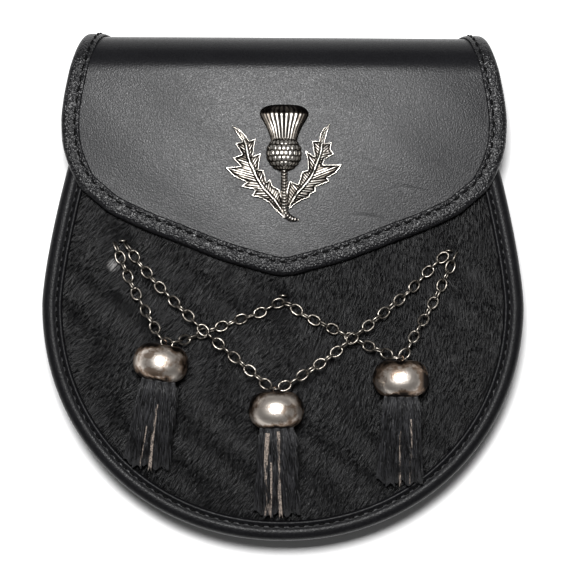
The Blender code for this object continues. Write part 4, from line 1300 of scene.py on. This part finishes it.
    def build_binding(self) -> None:
        """The binding with its seam, drawn in at each stitch hole."""
        points, outwards, normals = self.edge_walk()
        upper = rounded(self.binding, 28)
        profile = np.concatenate([upper, np.array(self.binding_under) * MM])
        stitching = Stitching(self.pitch)
        seam = points + outwards * self.groove[0] + normals * (self.groove_high + stitching.lift)
        high = stitching.drawn_in(seam, profile, len(upper), self.groove)
        rings = (points[:, None] + outwards[:, None] * profile[None, :, :1]
                 + normals[:, None] * high[..., None])
        add_piece("flap_hem", sweep("flap_hem", rings), self.finish.hem,
                  ("flap_binding",))
        stitching.make("flap_hem_seam", seam, normals, self.finish.thread, Slot.FLAP_BINDING)

    def build(self) -> None:
        """The flap and its binding."""
        self.build_sheet()
        self.build_binding()


# Halves of the leaves from the point down: rib across and up, edge across and up, in mm
LEAVES = {
    "left_outer": (
        (-21.5, 14.9, -21.5, 14.9), (-18.8, 13.0, -19.7, 12.0), (-15.9, 8.1, -17.3, 8.5),
        (-15.2, 4.6, -20.2, 7.7), (-14.6, 1.9, -17.3, 3.2), (-13.6, -0.8, -21.2, 1.8),
        (-12.3, -3.5, -17.9, -1.6), (-11.3, -5.8, -24.2, -2.3), (-10.5, -7.2, -20.6, -5.9),
        (-9.6, -8.7, -15.3, -8.3), (-8.0, -11.0, -17.8, -10.1), (-6.7, -12.4, -11.7, -11.5),
        (-5.5, -13.7, -13.4, -14.0), (-3.8, -15.5, -9.2, -14.8), (-2.2, -17.8, -5.9, -16.8),
        (-0.5, -20.3, -3.0, -20.1), (1.2, -22.8, 0.3, -23.2)),
    "left_inner": (
        (-21.5, 14.9, -21.5, 14.9), (-18.8, 13.0, -18.3, 13.8), (-17.1, 10.8, -16.1, 11.5),
        (-15.7, 7.5, -14.2, 8.8), (-15.0, 3.8, -11.5, 9.9), (-14.6, 2.1, -12.2, 6.3),
        (-14.0, 0.5, -12.6, 2.6), (-12.9, -2.0, -9.2, 4.0), (-12.1, -3.9, -10.0, 0.5),
        (-11.5, -5.4, -10.3, -3.1), (-10.0, -8.1, -8.3, -3.2), (-8.0, -11.0, -7.1, -8.1),
        (-6.7, -12.4, -5.6, -6.9), (-5.5, -13.7, -4.4, -9.9), (-3.8, -15.5, -1.7, -11.2),
        (-2.2, -17.8, -0.5, -15.3), (-0.5, -20.3, 0.7, -19.0), (1.2, -22.8, 1.8, -21.1)),
    "right_outer": (
        (19.0, 16.0, 19.0, 16.0), (17.3, 13.7, 18.2, 13.1), (15.6, 7.1, 16.8, 8.0),
        (15.4, 5.0, 19.9, 8.6), (15.1, 3.8, 19.3, 5.6), (14.4, 1.9, 20.7, 3.5),
        (13.8, 0.0, 16.9, 1.3), (13.2, -1.6, 16.2, -0.8), (11.3, -5.8, 24.2, -0.7),
        (10.5, -7.0, 21.5, -4.4), (9.7, -8.1, 18.0, -6.3), (8.8, -9.1, 19.1, -7.8),
        (8.0, -10.1, 13.2, -10.1), (6.6, -11.6, 13.2, -12.1), (5.9, -12.4, 10.9, -13.2),
        (5.1, -13.4, 10.7, -14.4), (4.3, -14.9, 7.4, -15.6), (3.2, -16.8, 4.3, -17.6),
        (2.2, -18.6, 2.6, -19.3)),
    "right_inner": (
        (19.0, 16.0, 19.0, 16.0), (17.3, 13.7, 16.3, 14.4), (16.1, 10.8, 14.9, 11.9),
        (15.6, 7.9, 14.4, 9.0), (15.4, 5.4, 11.5, 9.0), (14.9, 2.9, 12.0, 5.6),
        (14.2, 1.3, 12.6, 2.6), (13.2, -1.6, 8.5, 5.3), (12.4, -3.7, 9.7, 1.3),
        (11.5, -5.4, 9.9, -3.1), (10.5, -7.0, 7.4, -3.8), (9.0, -8.9, 6.6, -7.0),
        (7.6, -10.5, 5.9, -9.0), (6.1, -12.2, 2.4, -7.6), (4.9, -13.9, 1.4, -11.2),
        (3.7, -15.7, 1.0, -15.3), (2.2, -18.6, 1.0, -18.2))}


@dataclass
class Badge:
    """The cast thistle: two lobed leaves, a scaled bulb, a ribbed crown and a plaited stem."""

    finish: Finish
    half_width: float = 0.0247
    half_height: float = 0.0250
    from_top: float = 0.0540
    edge: float = 0.0011
    rib: float = 0.0023
    bulb_radius: float = 0.0071
    bulb_depth: float = 0.0058
    bulb_up: float = 0.15
    bulb_points: int = 90
    tile: float = math.radians(19)
    scale_rise: float = 0.055
    crown_top: float = 0.0194
    crown_neck: float = 0.0104
    crown_depth: float = 0.0046
    crown_ribs: int = 14
    cap_from: float = 0.79
    cap_fade: float = 0.03
    stem: float = 0.0014
    stem_depth: float = 0.0030
    tail_taper: float = 0.004
    plait_pitch: float = 0.00125
    plait_slant: float = 0.0007
    leaf_slope: float = 0.7
    leaf_rows: int = 9
    leaf_columns: int = 30
    # bead and gaps: how far from the edge or the rib, and how wide
    bead: tuple[float, float] = (0.00022, 0.00024)
    edge_gap: tuple[float, float] = (0.00078, 0.00024)
    rib_gap: tuple[float, float] = (0.00078, 0.00022)
    gap_fade: float = 0.0012
    crest_width: float = 0.00034
    vein_width: float = 0.00020
    line_pitch: float = 0.00095
    line_rise: float = 0.00034
    gap_depth: float = 0.00022
    crown: tuple[tuple[float, float, float], ...] = (
        (0.33, 0.0, 0.66), (0.42, 0.05, 0.76), (0.58, 0.38, 0.88), (0.72, 0.80, 0.96),
        (0.80, 1.0, 1.0), (0.835, 1.0, 0.95), (0.875, 0.88, 0.82), (0.905, 0.66, 0.66),
        (0.932, 0.36, 0.48), (0.95, -0.15, 0.3), (0.956, -0.6, 0.15))
    route: tuple[tuple[float, float], ...] = (
        (0.0, 0.0), (0.01, -0.30), (0.01, -0.60), (0.03, -0.82), (0.12, -0.92), (0.26, -0.95))

    def seated(self, flat: np.ndarray, high: np.ndarray) -> np.ndarray:
        """Points at a height over the flap, from places on the badge."""
        y = flat[..., 1] + FORM.top - self.from_top
        return np.stack([flat[..., 0], y, FORM.flap(flat[..., 0], y) + 2 * FORM.gap + high], -1)

    def slab(self, flat: np.ndarray, high: np.ndarray, shine: np.ndarray) -> bpy.types.Mesh:
        """A closed casting under a height map, with its attribute of polish and painted shade."""
        top, base = self.seated(flat, high), self.seated(flat, np.zeros_like(high))
        mesh = slab("casting", top, base)
        return mark(mesh, "recess", np.concatenate([shine.ravel(), np.full(shine.size, 0.1)]))

    def leaf_mesh(self, half: str) -> bpy.types.Mesh:
        """Half a leaf: a beaded edge, and veins that sweep from the rib to each point."""
        rows = np.array(LEAVES[half]) * MM
        spans = len(rows) - 1
        steps = np.linspace(0, spans, spans * self.leaf_rows + 1)
        span = np.minimum(steps.astype(int), spans - 1)
        u = (steps - span)[:, None]
        rib = spline(rows[:, :2], steps / spans)
        edge = rows[span, 2:] * (1 - u) + rows[span + 1, 2:] * u
        v = np.linspace(0, 1, self.leaf_columns)[None, :, None]
        flat = rib[:, None] * (1 - v) + edge[:, None] * v
        reach = np.linalg.norm(rows[:, 2:] - rows[:, :2], axis=1)
        points = [i for i in range(1, spans) if reach[i] > max(reach[i - 1], reach[i + 1])]
        off_vein = np.min([away_from(flat, rows[i].reshape(2, 2)) for i in points], axis=0)
        off_edge, off_rib = away_from(flat, rows[:, 2:]), away_from(flat, rib[::4])
        bead = ridge(off_edge, *self.bead)
        crest = ridge(off_rib, 0, self.crest_width)
        vein = ridge(off_vein, 0, self.vein_width)
        line = 0.5 + 0.5 * np.cos(2 * math.pi * off_vein / self.line_pitch)
        from_rib, from_edge = (np.clip(off / self.gap_fade - 0.3, 0, 1)
                               for off in (off_rib, off_edge))
        gap = ridge(off_edge, *self.edge_gap) * from_rib + ridge(off_rib, *self.rib_gap) * from_edge
        raised = np.maximum.reduce([bead, crest, 0.8 * vein, 0.45 * line])
        high = self.edge + (self.rib - self.edge) * (1 - v[..., 0]) * self.leaf_slope
        high = high + self.line_rise * raised - self.gap_depth * gap
        shine = 0.10 + 0.95 * np.maximum.reduce([bead, crest, 0.85 * vein, 0.55 * line]) - 0.5 * gap
        return self.slab(flat, high, np.clip(shine, 0, 1))

    def bulb_mesh(self) -> bpy.types.Mesh:
        """The bulb, all over in rows of pointed scales, its colour painted lighter where it faces
        up.
        """
        up = np.radians(np.linspace(-86, 86, self.bulb_points))[:, None]
        side = np.radians(np.linspace(-88, 88, self.bulb_points))[None]
        row = up / self.tile + 0.5
        brick = side / self.tile * 1.1 + 0.5 * (np.floor(row) % 2)
        scale = (1 - np.abs(2 * (row % 1) - 1) ** 3) * (1 - np.abs(2 * (brick % 1) - 1) ** 3)
        reach = 1 + self.scale_rise * scale
        middle = self.bulb_up * self.half_height
        flat = np.stack([self.bulb_radius * np.cos(up) * np.sin(side) * reach,
                         self.bulb_radius * np.sin(up) * reach + middle], -1)
        high = self.edge + self.bulb_depth * np.cos(up) * np.cos(side) * reach
        # Painted highlight and shade: the bulb's colour is lighter where it faces up and darker
        # towards its rim.
        turned = np.cos(up) * np.cos(side)
        return self.slab(flat, high, np.clip(scale * 1.15 * (0.25 + 0.9 * turned), 0, 1))

    def crown_mesh(self) -> bpy.types.Mesh:
        """The tuft, in ribs that spread to a domed cap, its colour painted darker on its sides."""
        levels = spline(self.crown, np.linspace(0, 1, 60))
        turn = np.linspace(0, math.pi, 141)[None]
        half = (self.crown_neck + (self.crown_top - self.crown_neck) * levels[:, 1:2]) / 2
        ribs = np.abs(np.sin(turn * self.crown_ribs)) ** 0.8
        cap = np.clip((levels[:, :1] - self.cap_from) / self.cap_fade, 0, 1)
        swell = 1 + (0.12 - 0.07 * cap) * (ribs - 0.5)
        up = levels[:, :1] * self.half_height + 0 * turn
        flat = np.stack([np.cos(turn) * half * swell, up], -1)
        high = self.edge * 0.4 + np.sin(turn) * self.crown_depth * levels[:, 2:3] * swell
        # Painted shade: the crown's colour darkens towards its sides as they turn away.
        turned = 1 - 0.75 * np.abs(np.cos(turn)) ** 2.5
        return self.slab(flat, high, np.clip((ribs * 1.2 - 0.2) * (1 - 0.78 * cap) * turned, 0, 1))

    def stem_mesh(self) -> bpy.types.Mesh:
        """The stem, notched like a plait, and its tail."""
        route = spline(self.route, np.linspace(0, 1, 300)) * (self.half_width, self.half_height)
        line = even(route, 150)
        sideways = -left_of(line)
        arc = np.linspace(0, reach_of(line), len(line))[:, None]
        across = np.linspace(-1, 1, 17)[None]
        taper = np.clip((arc[-1] - arc) / self.tail_taper, 0.15, 1) ** 0.5
        plait = (arc + self.plait_slant * np.abs(across)) / self.plait_pitch
        plait = np.abs(plait % 1 - 0.5) * 2
        flat = line[:, None] + sideways[:, None] * (across * taper * self.stem)[..., None]
        high = self.stem_depth * np.sqrt(1 - 0.9 * across ** 2) * taper * (0.82 + 0.18 * plait)
        return self.slab(flat, high, np.clip(0.1 + plait, 0, 1))

    def build(self) -> None:
        """The whole casting."""
        meshes = [self.leaf_mesh(half) for half in LEAVES]
        meshes += [self.stem_mesh(), self.bulb_mesh(), self.crown_mesh()]
        casting = joined("thistle_casting", meshes, "recess")
        add_piece("thistle_casting", casting, self.finish.badge, ("thistle_badge",))


def head_level(place: np.ndarray) -> float:
    """Level of a tassel head's axis where it lies on the fur."""
    return float(FORM.front(*place)) + FORM.gap + Tassel.radius


# Bare cut edges of hide in each tassel: place across, start and end down it as shares, width in mm
CUT_EDGES = {
    "left": ((0.16, 0.28, 1.0, 1.3), (-0.30, 0.55, 0.97, 0.7)),
    "center": ((-0.62, 0.08, 0.97, 2.0), (-0.36, 0.40, 1.0, 0.9), (0.14, 0.06, 1.0, 1.4)),
    "right": ((0.62, 0.28, 0.97, 1.0), (0.02, 0.40, 1.0, 0.8))}


@dataclass
class Tassel:
    """A tassel: a spun metal head with a wire eye, over a bundle of hide strips."""

    finish: Finish
    name: str
    radius: float = 0.0114
    height: float = 0.0150
    head_sides: int = 72
    eye_sides: int = 24
    knob: float = 0.0008
    eye: float = 0.0011
    eye_wire: float = 0.0008
    top_width: float = 0.0165
    bottom_width: float = 0.0192
    length: float = 0.0360
    strip: float = 0.0040
    thick: float = 0.0014
    # layers: height as a share of the half width, the highest one, and how far they close
    layer_high: float = 0.62
    top_layer: float = 1.15
    closing: float = 0.62
    neck: float = 0.16
    held: float = 0.0012
    tuck: float = 0.0018
    end_room: float = 0.0018
    bow: float = 0.22
    wave: float = 0.0004
    end_wave: float = 0.0009
    hairs: int = 1700
    hair: Strand = Strand(0.0098, 0.00034)
    hair_bend: float = 0.02
    bed_area: float = 0.00092
    strip_rows: int = 26
    hair_rows: int = 19
    # out and up as shares of the radius and the height
    section: tuple[tuple[float, float], ...] = (
        (0.0, 0.485), (0.22, 0.487), (0.36, 0.50), (0.50, 0.492), (0.66, 0.455), (0.82, 0.37),
        (0.935, 0.235), (0.99, 0.09), (1.0, -0.02), (0.985, -0.13), (0.93, -0.25), (0.83, -0.36),
        (0.68, -0.445), (0.52, -0.485), (0.40, -0.50), (0.30, -0.48), (0.0, -0.47))
    # place across, layer, length
    strips: tuple[tuple[float, float, float], ...] = (
        (-0.78, 0.0, 0.97), (-0.26, 0.0, 0.95), (0.26, 0.0, 0.97), (0.78, 0.0, 0.98),
        (-1.0, 0.70, 0.95), (-0.55, 1.0, 1.0), (-0.02, 1.12, 0.96), (0.50, 1.0, 0.99),
        (1.0, 0.72, 0.97))

    def placed(self, points: np.ndarray) -> np.ndarray:
        """Points of the upright tassel where it lies: its axis along the pouch, leaning."""
        across, up, lean = TASSELS[self.name]
        place = FORM.place(across, up)
        turn = np.array(Matrix.Translation((*place, head_level(place)))
                        @ Matrix.Rotation(math.radians(lean), 4, "Z")
                        @ Matrix.Rotation(-math.pi / 2, 4, "X"))
        return points @ turn[:3, :3].T + turn[:3, 3]

    def build_head(self) -> None:
        """The head, slightly dented, with its eye; its colour is painted darker at its ends and in
        bands at top and bottom as shade.
        """
        curve = spline(self.section, np.linspace(0, 1, 500)) * (self.radius, self.height)
        section = even(curve, 64)[1:-1]
        turn = circle(self.head_sides)
        seed = {"left": 0.4, "center": 2.1, "right": 4.4}[self.name]
        dent = 1 - 0.010 * np.sin(2 * turn + seed) - 0.006 * np.sin(5 * turn + 2 * seed)
        out = section[:, :1] * dent[None]
        rings = np.stack([out * np.cos(turn), out * np.sin(turn), section[:, 1:] + 0 * turn], -1)
        body = sweep("head", self.placed(rings))
        # Painted shade: the colour darkens towards the head's two ends and in bands at its top and
        # bottom, leaving a painted highlight in the middle.
        ends, painted_shade_bands = (np.clip((np.abs(rings[..., axis]) / size - start) / fade, 0, 1)
                       for axis, size, start, fade in ((0, self.radius, 0.62, 0.34),
                                                       (2, self.height, 0.26, 0.2)))
        mark(body, "recess", (0.80 - 0.62 * ends - 0.6 * painted_shade_bands).clip(0).ravel())
        ring = circle(self.eye_sides)
        eye = np.stack([np.cos(ring) * self.eye, 0 * ring, np.sin(ring) * self.eye], 1)
        eye[:, 2] += self.height / 2 + self.eye - self.eye_wire / 3
        wire = tube("eye", self.placed(eye), self.eye_wire / 2, 10, closed=True)
        mark(wire, "recess", np.full(len(wire.vertices), 0.15))
        cap = joined("cap", [body, wire], "recess")
        add_piece(f"tassel_cap_{self.name}", cap, self.finish.head,
                  (f"tassel_head_{self.name}",))

    def strip_grid(self, across: float, layer: float, length: float, drop: float, width: float,
                   start: float = 0.0) -> np.ndarray:
        """The middle surface of a strip, in the upright tassel.

        Args:
            across: Its place across the tassel, from -1 to 1.
            layer: Its place up the bundle, from 0 at the fur.
            length: Its share of the tassel's length.
            drop: How far its end hangs down to the fur.
            width: Its width.
            start: Share of its length at which it comes into sight.

        Returns:
            Points in rows down it and columns across it.
        """
        share = np.linspace(start, 1, self.strip_rows)[:, None]
        side = np.array((-1, -0.86, -0.45, 0, 0.45, 0.86, 1.0))[None]
        reach = (self.top_width + (self.bottom_width - self.top_width) * share - self.strip) / 2
        reach = reach * (1 - self.neck * (1 - share) ** 6)
        wave = self.wave * np.sin(5.1 * share + 7 * across + layer) * share
        high = (1.9 * layer / self.top_layer - 0.95) * self.layer_high * self.top_width / 2
        high = high * (1 - self.closing * share) * math.cos(across * 0.8) - drop * share ** 1.3
        twist = (0.45 * across + 0.25 * math.sin(9 * across + layer)) * (1 - 0.5 * share)
        half = width / 2 * (1 - 0.10 * (1 - share))
        bow = self.bow * width * (1 - side ** 2)
        x = across * reach + wave + side * half * np.cos(twist) - bow * np.sin(twist)
        y = -(high + side * half * np.sin(twist) + bow * np.cos(twist))
        z = -self.height / 2 + self.held - share * (self.length + self.tuck) * length + 0 * side
        z = z + self.end_wave * share ** 8 * np.sin(3 * side + 9 * across)
        return np.stack([x, y, z], -1)

    def build_fringe(self) -> None:
        """The strips, held in the head, with bare cut edges here and there, and their hair."""
        *spot, lean = TASSELS[self.name]
        place, turn = FORM.place(*spot), math.radians(lean)
        below = self.height / 2 + self.length
        foot = place + np.array((math.sin(turn), -math.cos(turn))) * below
        room = head_level(place) - float(FORM.front(*foot)) - FORM.gap
        low_layer = self.layer_high * self.top_width / 2 * (1 - self.closing)
        drop = max(room - low_layer - self.end_room - 2 * FORM.gap, 0)
        meshes, beds = [], []
        for across, layer, length in self.strips:
            grid = self.strip_grid(across, layer, length, drop, self.strip)
            meshes.append(self.strip_mesh(grid, 0.0))
            top = self.placed(grid + np.array((0, -self.thick / 2, 0)))
            bed = new_mesh("bed", top, grid_faces(*grid.shape[:2]), outwards=False)
            if bed.polygons[40].normal.z < 0:
                bed.flip_normals()
            grow = np.full(grid.shape[:2], 1.0 if layer > 0.5 else 0.5)
            grow[self.hair_rows:] = 0
            mark(mark(bed, "grow", grow), "lay", unit(np.gradient(top, axis=0)))
            beds.append(bed)
        for across, start, end, width in CUT_EDGES[self.name]:
            grid = self.strip_grid(across, 1.3, end, drop, width * MM, start)
            grid[..., 1] -= 0.0001
            meshes.append(self.strip_mesh(grid, 1.0))
        strips = joined("strips", meshes, "raw")
        add_piece(f"tassel_strips_{self.name}", strips, self.finish.fringe,
                  (f"tassel_{self.name}",))
        item = self.hair.mesh(self.hair_bend)
        hair = grown(joined("beds", beds, "grow", "lay"), item, Repeat.COAT, {
            "Density": self.hairs / self.bed_area, "Seed": 31, "Spread": 0.045, "Clump": 0.09,
            "Clump size": 0.004, "Lift": 0.03, "Shortest": 0.7, "Longest": 1.15,
            "Material": self.finish.long_hair})
        add_piece(f"tassel_hair_{self.name}", hair, self.finish.long_hair)

    def strip_mesh(self, grid: np.ndarray, raw: float) -> bpy.types.Mesh:
        """A strip of hide from its middle surface, dyed or bare."""
        half = np.array((0, self.thick / 2, 0))
        mesh = slab("strip", self.placed(grid - half), self.placed(grid + half))
        return mark(mesh, "raw", np.full(len(mesh.vertices), raw))

    def build(self) -> None:
        """The whole tassel."""
        self.build_head()
        self.build_fringe()


@dataclass
class Chains:
    """The fine chains that hang the tassels, and the staples that hold them."""

    finish: Finish
    width: float = 0.0043
    link: float = 0.0061
    link_width: float = 0.0047
    wire: float = 0.00092
    pitch: float = 0.00422
    link_points: int = 20
    eye_reach: float = 0.0006
    staple_wire: float = 0.0009
    staple_span: float = 0.0036
    staple_height: float = 0.0024
    staple_depth: float = 0.0022
    # chain, from, to, rows of share along, bow to the left as a share of the leg, lift
    legs: tuple[tuple[str, str, str, tuple[tuple[float, float, float], ...]], ...] = (
        ("swag", "staple_left", "head_left",
         ((0.25, -0.025, 0.05), (0.50, -0.033, 0.30), (0.76, -0.020, 0.68))),
        ("swag", "head_left", "staple_center",
         ((0.12, -0.036, 0.56), (0.32, -0.035, 0.07), (0.60, -0.022, 0.03), (0.80, -0.020, 0.02))),
        ("swag", "staple_center", "head_right",
         ((0.20, -0.020, 0.02), (0.40, -0.022, 0.03), (0.60, -0.028, 0.08), (0.84, -0.022, 0.58))),
        ("swag", "head_right", "staple_right",
         ((0.25, -0.015, 0.68), (0.50, -0.022, 0.30), (0.76, -0.016, 0.05))),
        ("drop", "staple_left", "head_center",
         ((0.11, -0.020, 0.05), (0.26, -0.033, 0.25), (0.46, -0.037, 0.60), (0.55, -0.038, 0.69),
          (0.72, -0.031, 0.78), (0.89, -0.020, 0.93))),
        ("drop", "head_center", "staple_right",
         ((0.15, -0.028, 0.92), (0.30, -0.038, 0.79), (0.44, -0.036, 0.71), (0.60, -0.033, 0.50),
          (0.78, -0.026, 0.22), (0.89, -0.010, 0.06))))

    def anchor(self, chain: str, end: str) -> np.ndarray:
        """Where a chain's middle line meets a staple or a tassel head's eye."""
        kind, side = end.split("_")
        radius = self.width / 2
        if kind == "head":
            *spot, lean = TASSELS[side]
            place, turn = FORM.place(*spot), math.radians(lean)
            reach = Tassel.height / 2 + Tassel.knob + self.eye_reach
            flat = place + np.array((-math.sin(turn), math.cos(turn))) * reach
            return np.array((*flat, head_level(place)))
        beside = {"left": -1, "center": 0, "right": 1}[side] * (1 if chain == "swag" else -1)
        below = -radius - self.staple_wire / 2 - FORM.gap
        flat = FORM.place(*STAPLES[side]) + np.array((beside * (radius + FORM.gap), below))
        return np.array((*flat, float(FORM.front(*flat)) + FORM.gap + radius))

    def route(self, chain: str) -> np.ndarray:
        """The middle line of a chain."""
        knots = []
        for _, first, last, rows in (leg for leg in self.legs if leg[0] == chain):
            start, end = self.anchor(chain, first), self.anchor(chain, last)
            knots.append(start)
            way = (end - start)[:2]
            for along, bow, lift in rows:
                flat = start[:2] + way * along + np.array((-way[1], way[0])) * bow
                rest = float(FORM.front(*flat)) + FORM.gap + self.width / 2
                knots.append((*flat, rest + lift * (Tassel.radius - self.width / 2)))
        knots.append(end)
        return spline(knots, np.linspace(0, 1, 30 * len(knots)))

    def link_mesh(self) -> bpy.types.Mesh:
        """One oval link along +X."""
        turn = circle(self.link_points)
        reach = np.array(((self.link - self.wire) / 2, (self.link_width - self.wire) / 2))
        x, z = (np.sign(wave) * np.abs(wave) ** 0.9 for wave in (np.cos(turn), np.sin(turn)))
        shape = np.stack([x * reach[0], 0 * turn, z * reach[1]], 1)
        return tube("link", shape, self.wire / 2, 8, closed=True)

    def build_chain(self, chain: str) -> None:
        """A chain of links, each a quarter turn on from the last."""
        line = even(self.route(chain), 400)
        count = round(reach_of(line) / self.pitch) + 1
        mesh = grown(path_mesh(line, (0, 0, 1)), self.link_mesh(), Repeat.ROW, {
            "Count": count, "Turn": math.pi / 2, "Jitter": 0.30, "Seed": 3,
            "Material": self.finish.chain})
        add_piece(f"links_{chain}", mesh, self.finish.chain, (f"chain_{chain}",))

    def build_staple(self, name: str) -> None:
        """A bent wire whose feet go into the hide."""
        x, y = FORM.place(*STAPLES[name])
        foot = float(FORM.front(x, y)) + FORM.gap
        reach = (self.staple_span - self.staple_wire) / 2
        rise = self.staple_height - self.staple_wire / 2
        turn = np.linspace(0, math.pi, 15)
        arch = np.stack([x - reach * np.cos(turn), 0 * turn + y,
                         foot + rise - reach * 0.6 * (1 - np.sin(turn))], 1)
        feet = [[(x + side * reach, y, foot - self.staple_depth)] for side in (-1, 1)]
        wire = tube("staple", np.concatenate([feet[0], arch, feet[1]]), self.staple_wire / 2, 10)
        add_piece(f"wire_staple_{name}", wire, self.finish.chain, (f"staple_{name}",))

    def build(self) -> None:
        """Both chains and their staples."""
        for chain in ("swag", "drop"):
            self.build_chain(chain)
        for name in STAPLES:
            self.build_staple(name)


@dataclass
class Back:
    """The back's rolled rim, the gusset, and the rings for the strap."""

    finish: Finish
    sections: int = 620
    crease: float = 0.00035
    ring_across: float = 0.046
    ring_up: float = 0.040
    ring_width: float = 0.024
    ring_height: float = 0.016
    ring_wire: float = 0.002
    # out from the panel's edge and up from the floor in mm
    rim: tuple[tuple[float, float], ...] = (
        (-6.7, 3.5), (-6.3, 2.1), (-5.6, 0.9), (-4.7, 0.2), (-3.6, 0.0), (-2.5, 0.0), (-1.4, 0.0),
        (-0.4, 0.12), (0.7, 0.75), (1.45, 1.8), (1.78, 3.2), (1.8, 5.0), (1.66, 6.4), (1.2, 7.35),
        (0.5, 7.7))
    rim_inner: tuple[tuple[float, float], ...] = ((-2.2, 7.7), (-2.2, 6.2), (0.3, 6.2), (0.3, 3.6))

    def build_rim(self) -> None:
        """The rolled rim that the pouch lies on."""
        top = FORM.top - FORM.back_drop - FORM.border
        outline = FORM.outline(FORM.panel_inset, top, self.sections)
        outer = rounded(self.rim, 30)
        outer[:, 1] = outer[:, 1].clip(0)
        profile = np.concatenate([outer, np.array(self.rim_inner) * MM])
        mesh = bound("back_piping", outline, profile, FORM.floor)
        add_piece("back_piping", mesh, self.finish.border, ("back_rim",))

    def build_gusset(self) -> None:
        """The soft side band, drawn in and a little creased."""
        outline = FORM.outline(FORM.gusset_inset, FORM.mouth, self.sections)
        outwards = -left_of(outline)
        arc = np.linspace(0, reach_of(outline), len(outline))[:, None]
        steps = np.linspace(0, 1, 15)
        bow = FORM.gusset_bow * np.sin(np.pi * steps)[None]
        crease = self.crease * np.sin(arc * 310 + 3 * np.sin(arc * 47)) * np.sin(np.pi * steps)
        crease = crease * (0.55 + 0.45 * np.sin(arc * 71 + 4 * steps))
        sides = []
        for inset in (0.0, FORM.gusset_wall):
            flat = outline[:, None] - outwards[:, None] * (inset + bow + crease)[..., None]
            top = FORM.front(flat[..., 0], flat[..., 1]) - FORM.front_wall - FORM.gap
            high = FORM.gusset_base + (top - FORM.gusset_base) * steps
            sides.append(lifted(flat, high))
        rings = np.concatenate([sides[0], sides[1][:, ::-1]], 1)
        mesh = sweep("side_band", rings)
        add_piece("side_band", mesh, self.finish.gusset, ("gusset",))

    def build_ring(self, name: str, side: int) -> None:
        """A bent wire ring with a straight bar."""
        level = FORM.rim_proud - 2 * FORM.gap - self.ring_wire / 2
        reach = (self.ring_width - self.ring_wire) / 2
        rise = self.ring_height - self.ring_wire
        turn = np.linspace(0, math.pi, 11)
        bow = np.stack([reach * np.cos(turn), rise * (0.12 + 0.88 * np.sin(turn))], 1)
        bar = np.array([(share * reach, 0.0) for share in (-0.9, -0.3, 0.3, 0.9)])
        flat = spline(np.concatenate([bar, bow, bar[:1]]), np.linspace(0, 1, 97))[:-1]
        flat = flat + (side * self.ring_across, self.ring_up)
        ring = np.concatenate([flat, np.full((len(flat), 1), level)], 1)
        add_piece(f"strap_loop_{name}", tube("loop", ring, self.ring_wire / 2, 16, closed=True),
                  self.finish.fitting, (f"strap_ring_{name}",))

    def build(self) -> None:
        """The rim, the gusset and both rings."""
        self.build_rim()
        self.build_gusset()
        for name, side in (("left", -1), ("right", 1)):
            self.build_ring(name, side)


@dataclass(frozen=True)
class Studio:
    """A pale floor, soft light from above and the camera over the pouch."""

    span: float = 0.2366
    level: float = 0.031
    centre: tuple[float, float] = (0.0008, 0.0008)
    lens: float = 250.0
    sensor: float = 36.0
    roll: float = math.radians(0.35)
    floor_half: float = 3.0
    key_watts: float = 62.0
    glow: float = 0.10

    def build_camera(self) -> None:
        """The camera, straight above, as far as its long lens needs."""
        data = bpy.data.cameras.new("Camera")
        data.lens, data.sensor_width = self.lens, self.sensor
        camera = bpy.data.objects.new("Camera", data)
        away = self.span * self.lens / self.sensor
        camera.location = (*self.centre, self.level + away)
        camera.rotation_euler = (0, 0, self.roll)
        data.clip_end = 20
        bpy.context.scene.collection.objects.link(camera)
        bpy.context.scene.camera = camera

    def build_key(self, place: Sequence[float], aim: Sequence[float],
                  size: Sequence[float]) -> None:
        """The one soft box.

        Args:
            place: Where it hangs.
            aim: What it faces.
            size: Width and height.
        """
        data = bpy.data.lights.new("Key", "AREA")
        data.shape, data.energy = "RECTANGLE", self.key_watts
        data.size, data.size_y = size
        lamp = bpy.data.objects.new("Key", data)
        lamp.location = place
        lamp.rotation_euler = (Vector(aim) - Vector(place)).to_track_quat("-Z", "Y").to_euler()
        bpy.context.scene.collection.objects.link(lamp)

    def build_floor(self) -> None:
        """A plain white paper floor."""
        material, tree, place = start_material("Matt white paper")
        fibre = noise(tree, place, 60.0, 3.0)
        colour = ramp(tree, fibre, (0.3, "#F2F2F2"), (0.7, "#F5F5F5"))
        end_material(tree, colour, remap(tree, fibre, wanted=(0.85, 0.95)), fibre, 0.00002)
        corners = np.array([(-1, -1, 0), (1, -1, 0), (1, 1, 0), (-1, 1, 0)]) * self.floor_half
        mesh = new_mesh("floor", corners, [(0, 1, 2, 3)], outwards=False)
        mesh.materials.append(material)
        floor = bpy.data.objects.new("floor", mesh)
        bpy.context.scene.collection.objects.link(floor)

    def build(self) -> None:
        """Camera, light, world and floor."""
        self.build_camera()
        self.build_floor()
        self.build_key((-0.06, 0.36, 2.0), (0, 0.02, 0.03), (0.36, 0.30))
        world = bpy.data.worlds.new("Studio")
        world.use_nodes = True
        world.node_tree.nodes.clear()
        glow = put(world.node_tree, "ShaderNodeBackground", {
            "Color": linear("#FFFFFF"), "Strength": self.glow})
        put(world.node_tree, "ShaderNodeOutputWorld", {"Surface": glow.outputs[0]})
        bpy.context.scene.world = world
        bpy.context.scene.view_settings.view_transform = "Standard"


def dress_node(frame: dict, node: str, material: bpy.types.Material) -> None:
    """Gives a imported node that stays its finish."""
    thing = frame["nodes"][node]
    thing.data.materials.clear()
    thing.data.materials.append(material)
    LOG.info("%s: kept, %s", node, material.name)


def main() -> None:
    """Builds the stage, then every piece in order."""
    logging.basicConfig(level=logging.INFO, format="%(name)s: %(message)s")
    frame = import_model()
    Studio().build()
    finish = Finish()
    for part in (Back, Front, Flap, Badge):
        part(finish).build()
    for name in TASSELS:
        Tassel(finish, name).build()
    Chains(finish).build()
    dress_node(frame, "back_panel", finish.back)
    dress_node(frame, "flap_stud", finish.fitting)
    for name in ("left", "right"):
        dress_node(frame, f"ring_saddle_{name}", finish.fitting)


if __name__ == "__main__":
    main()
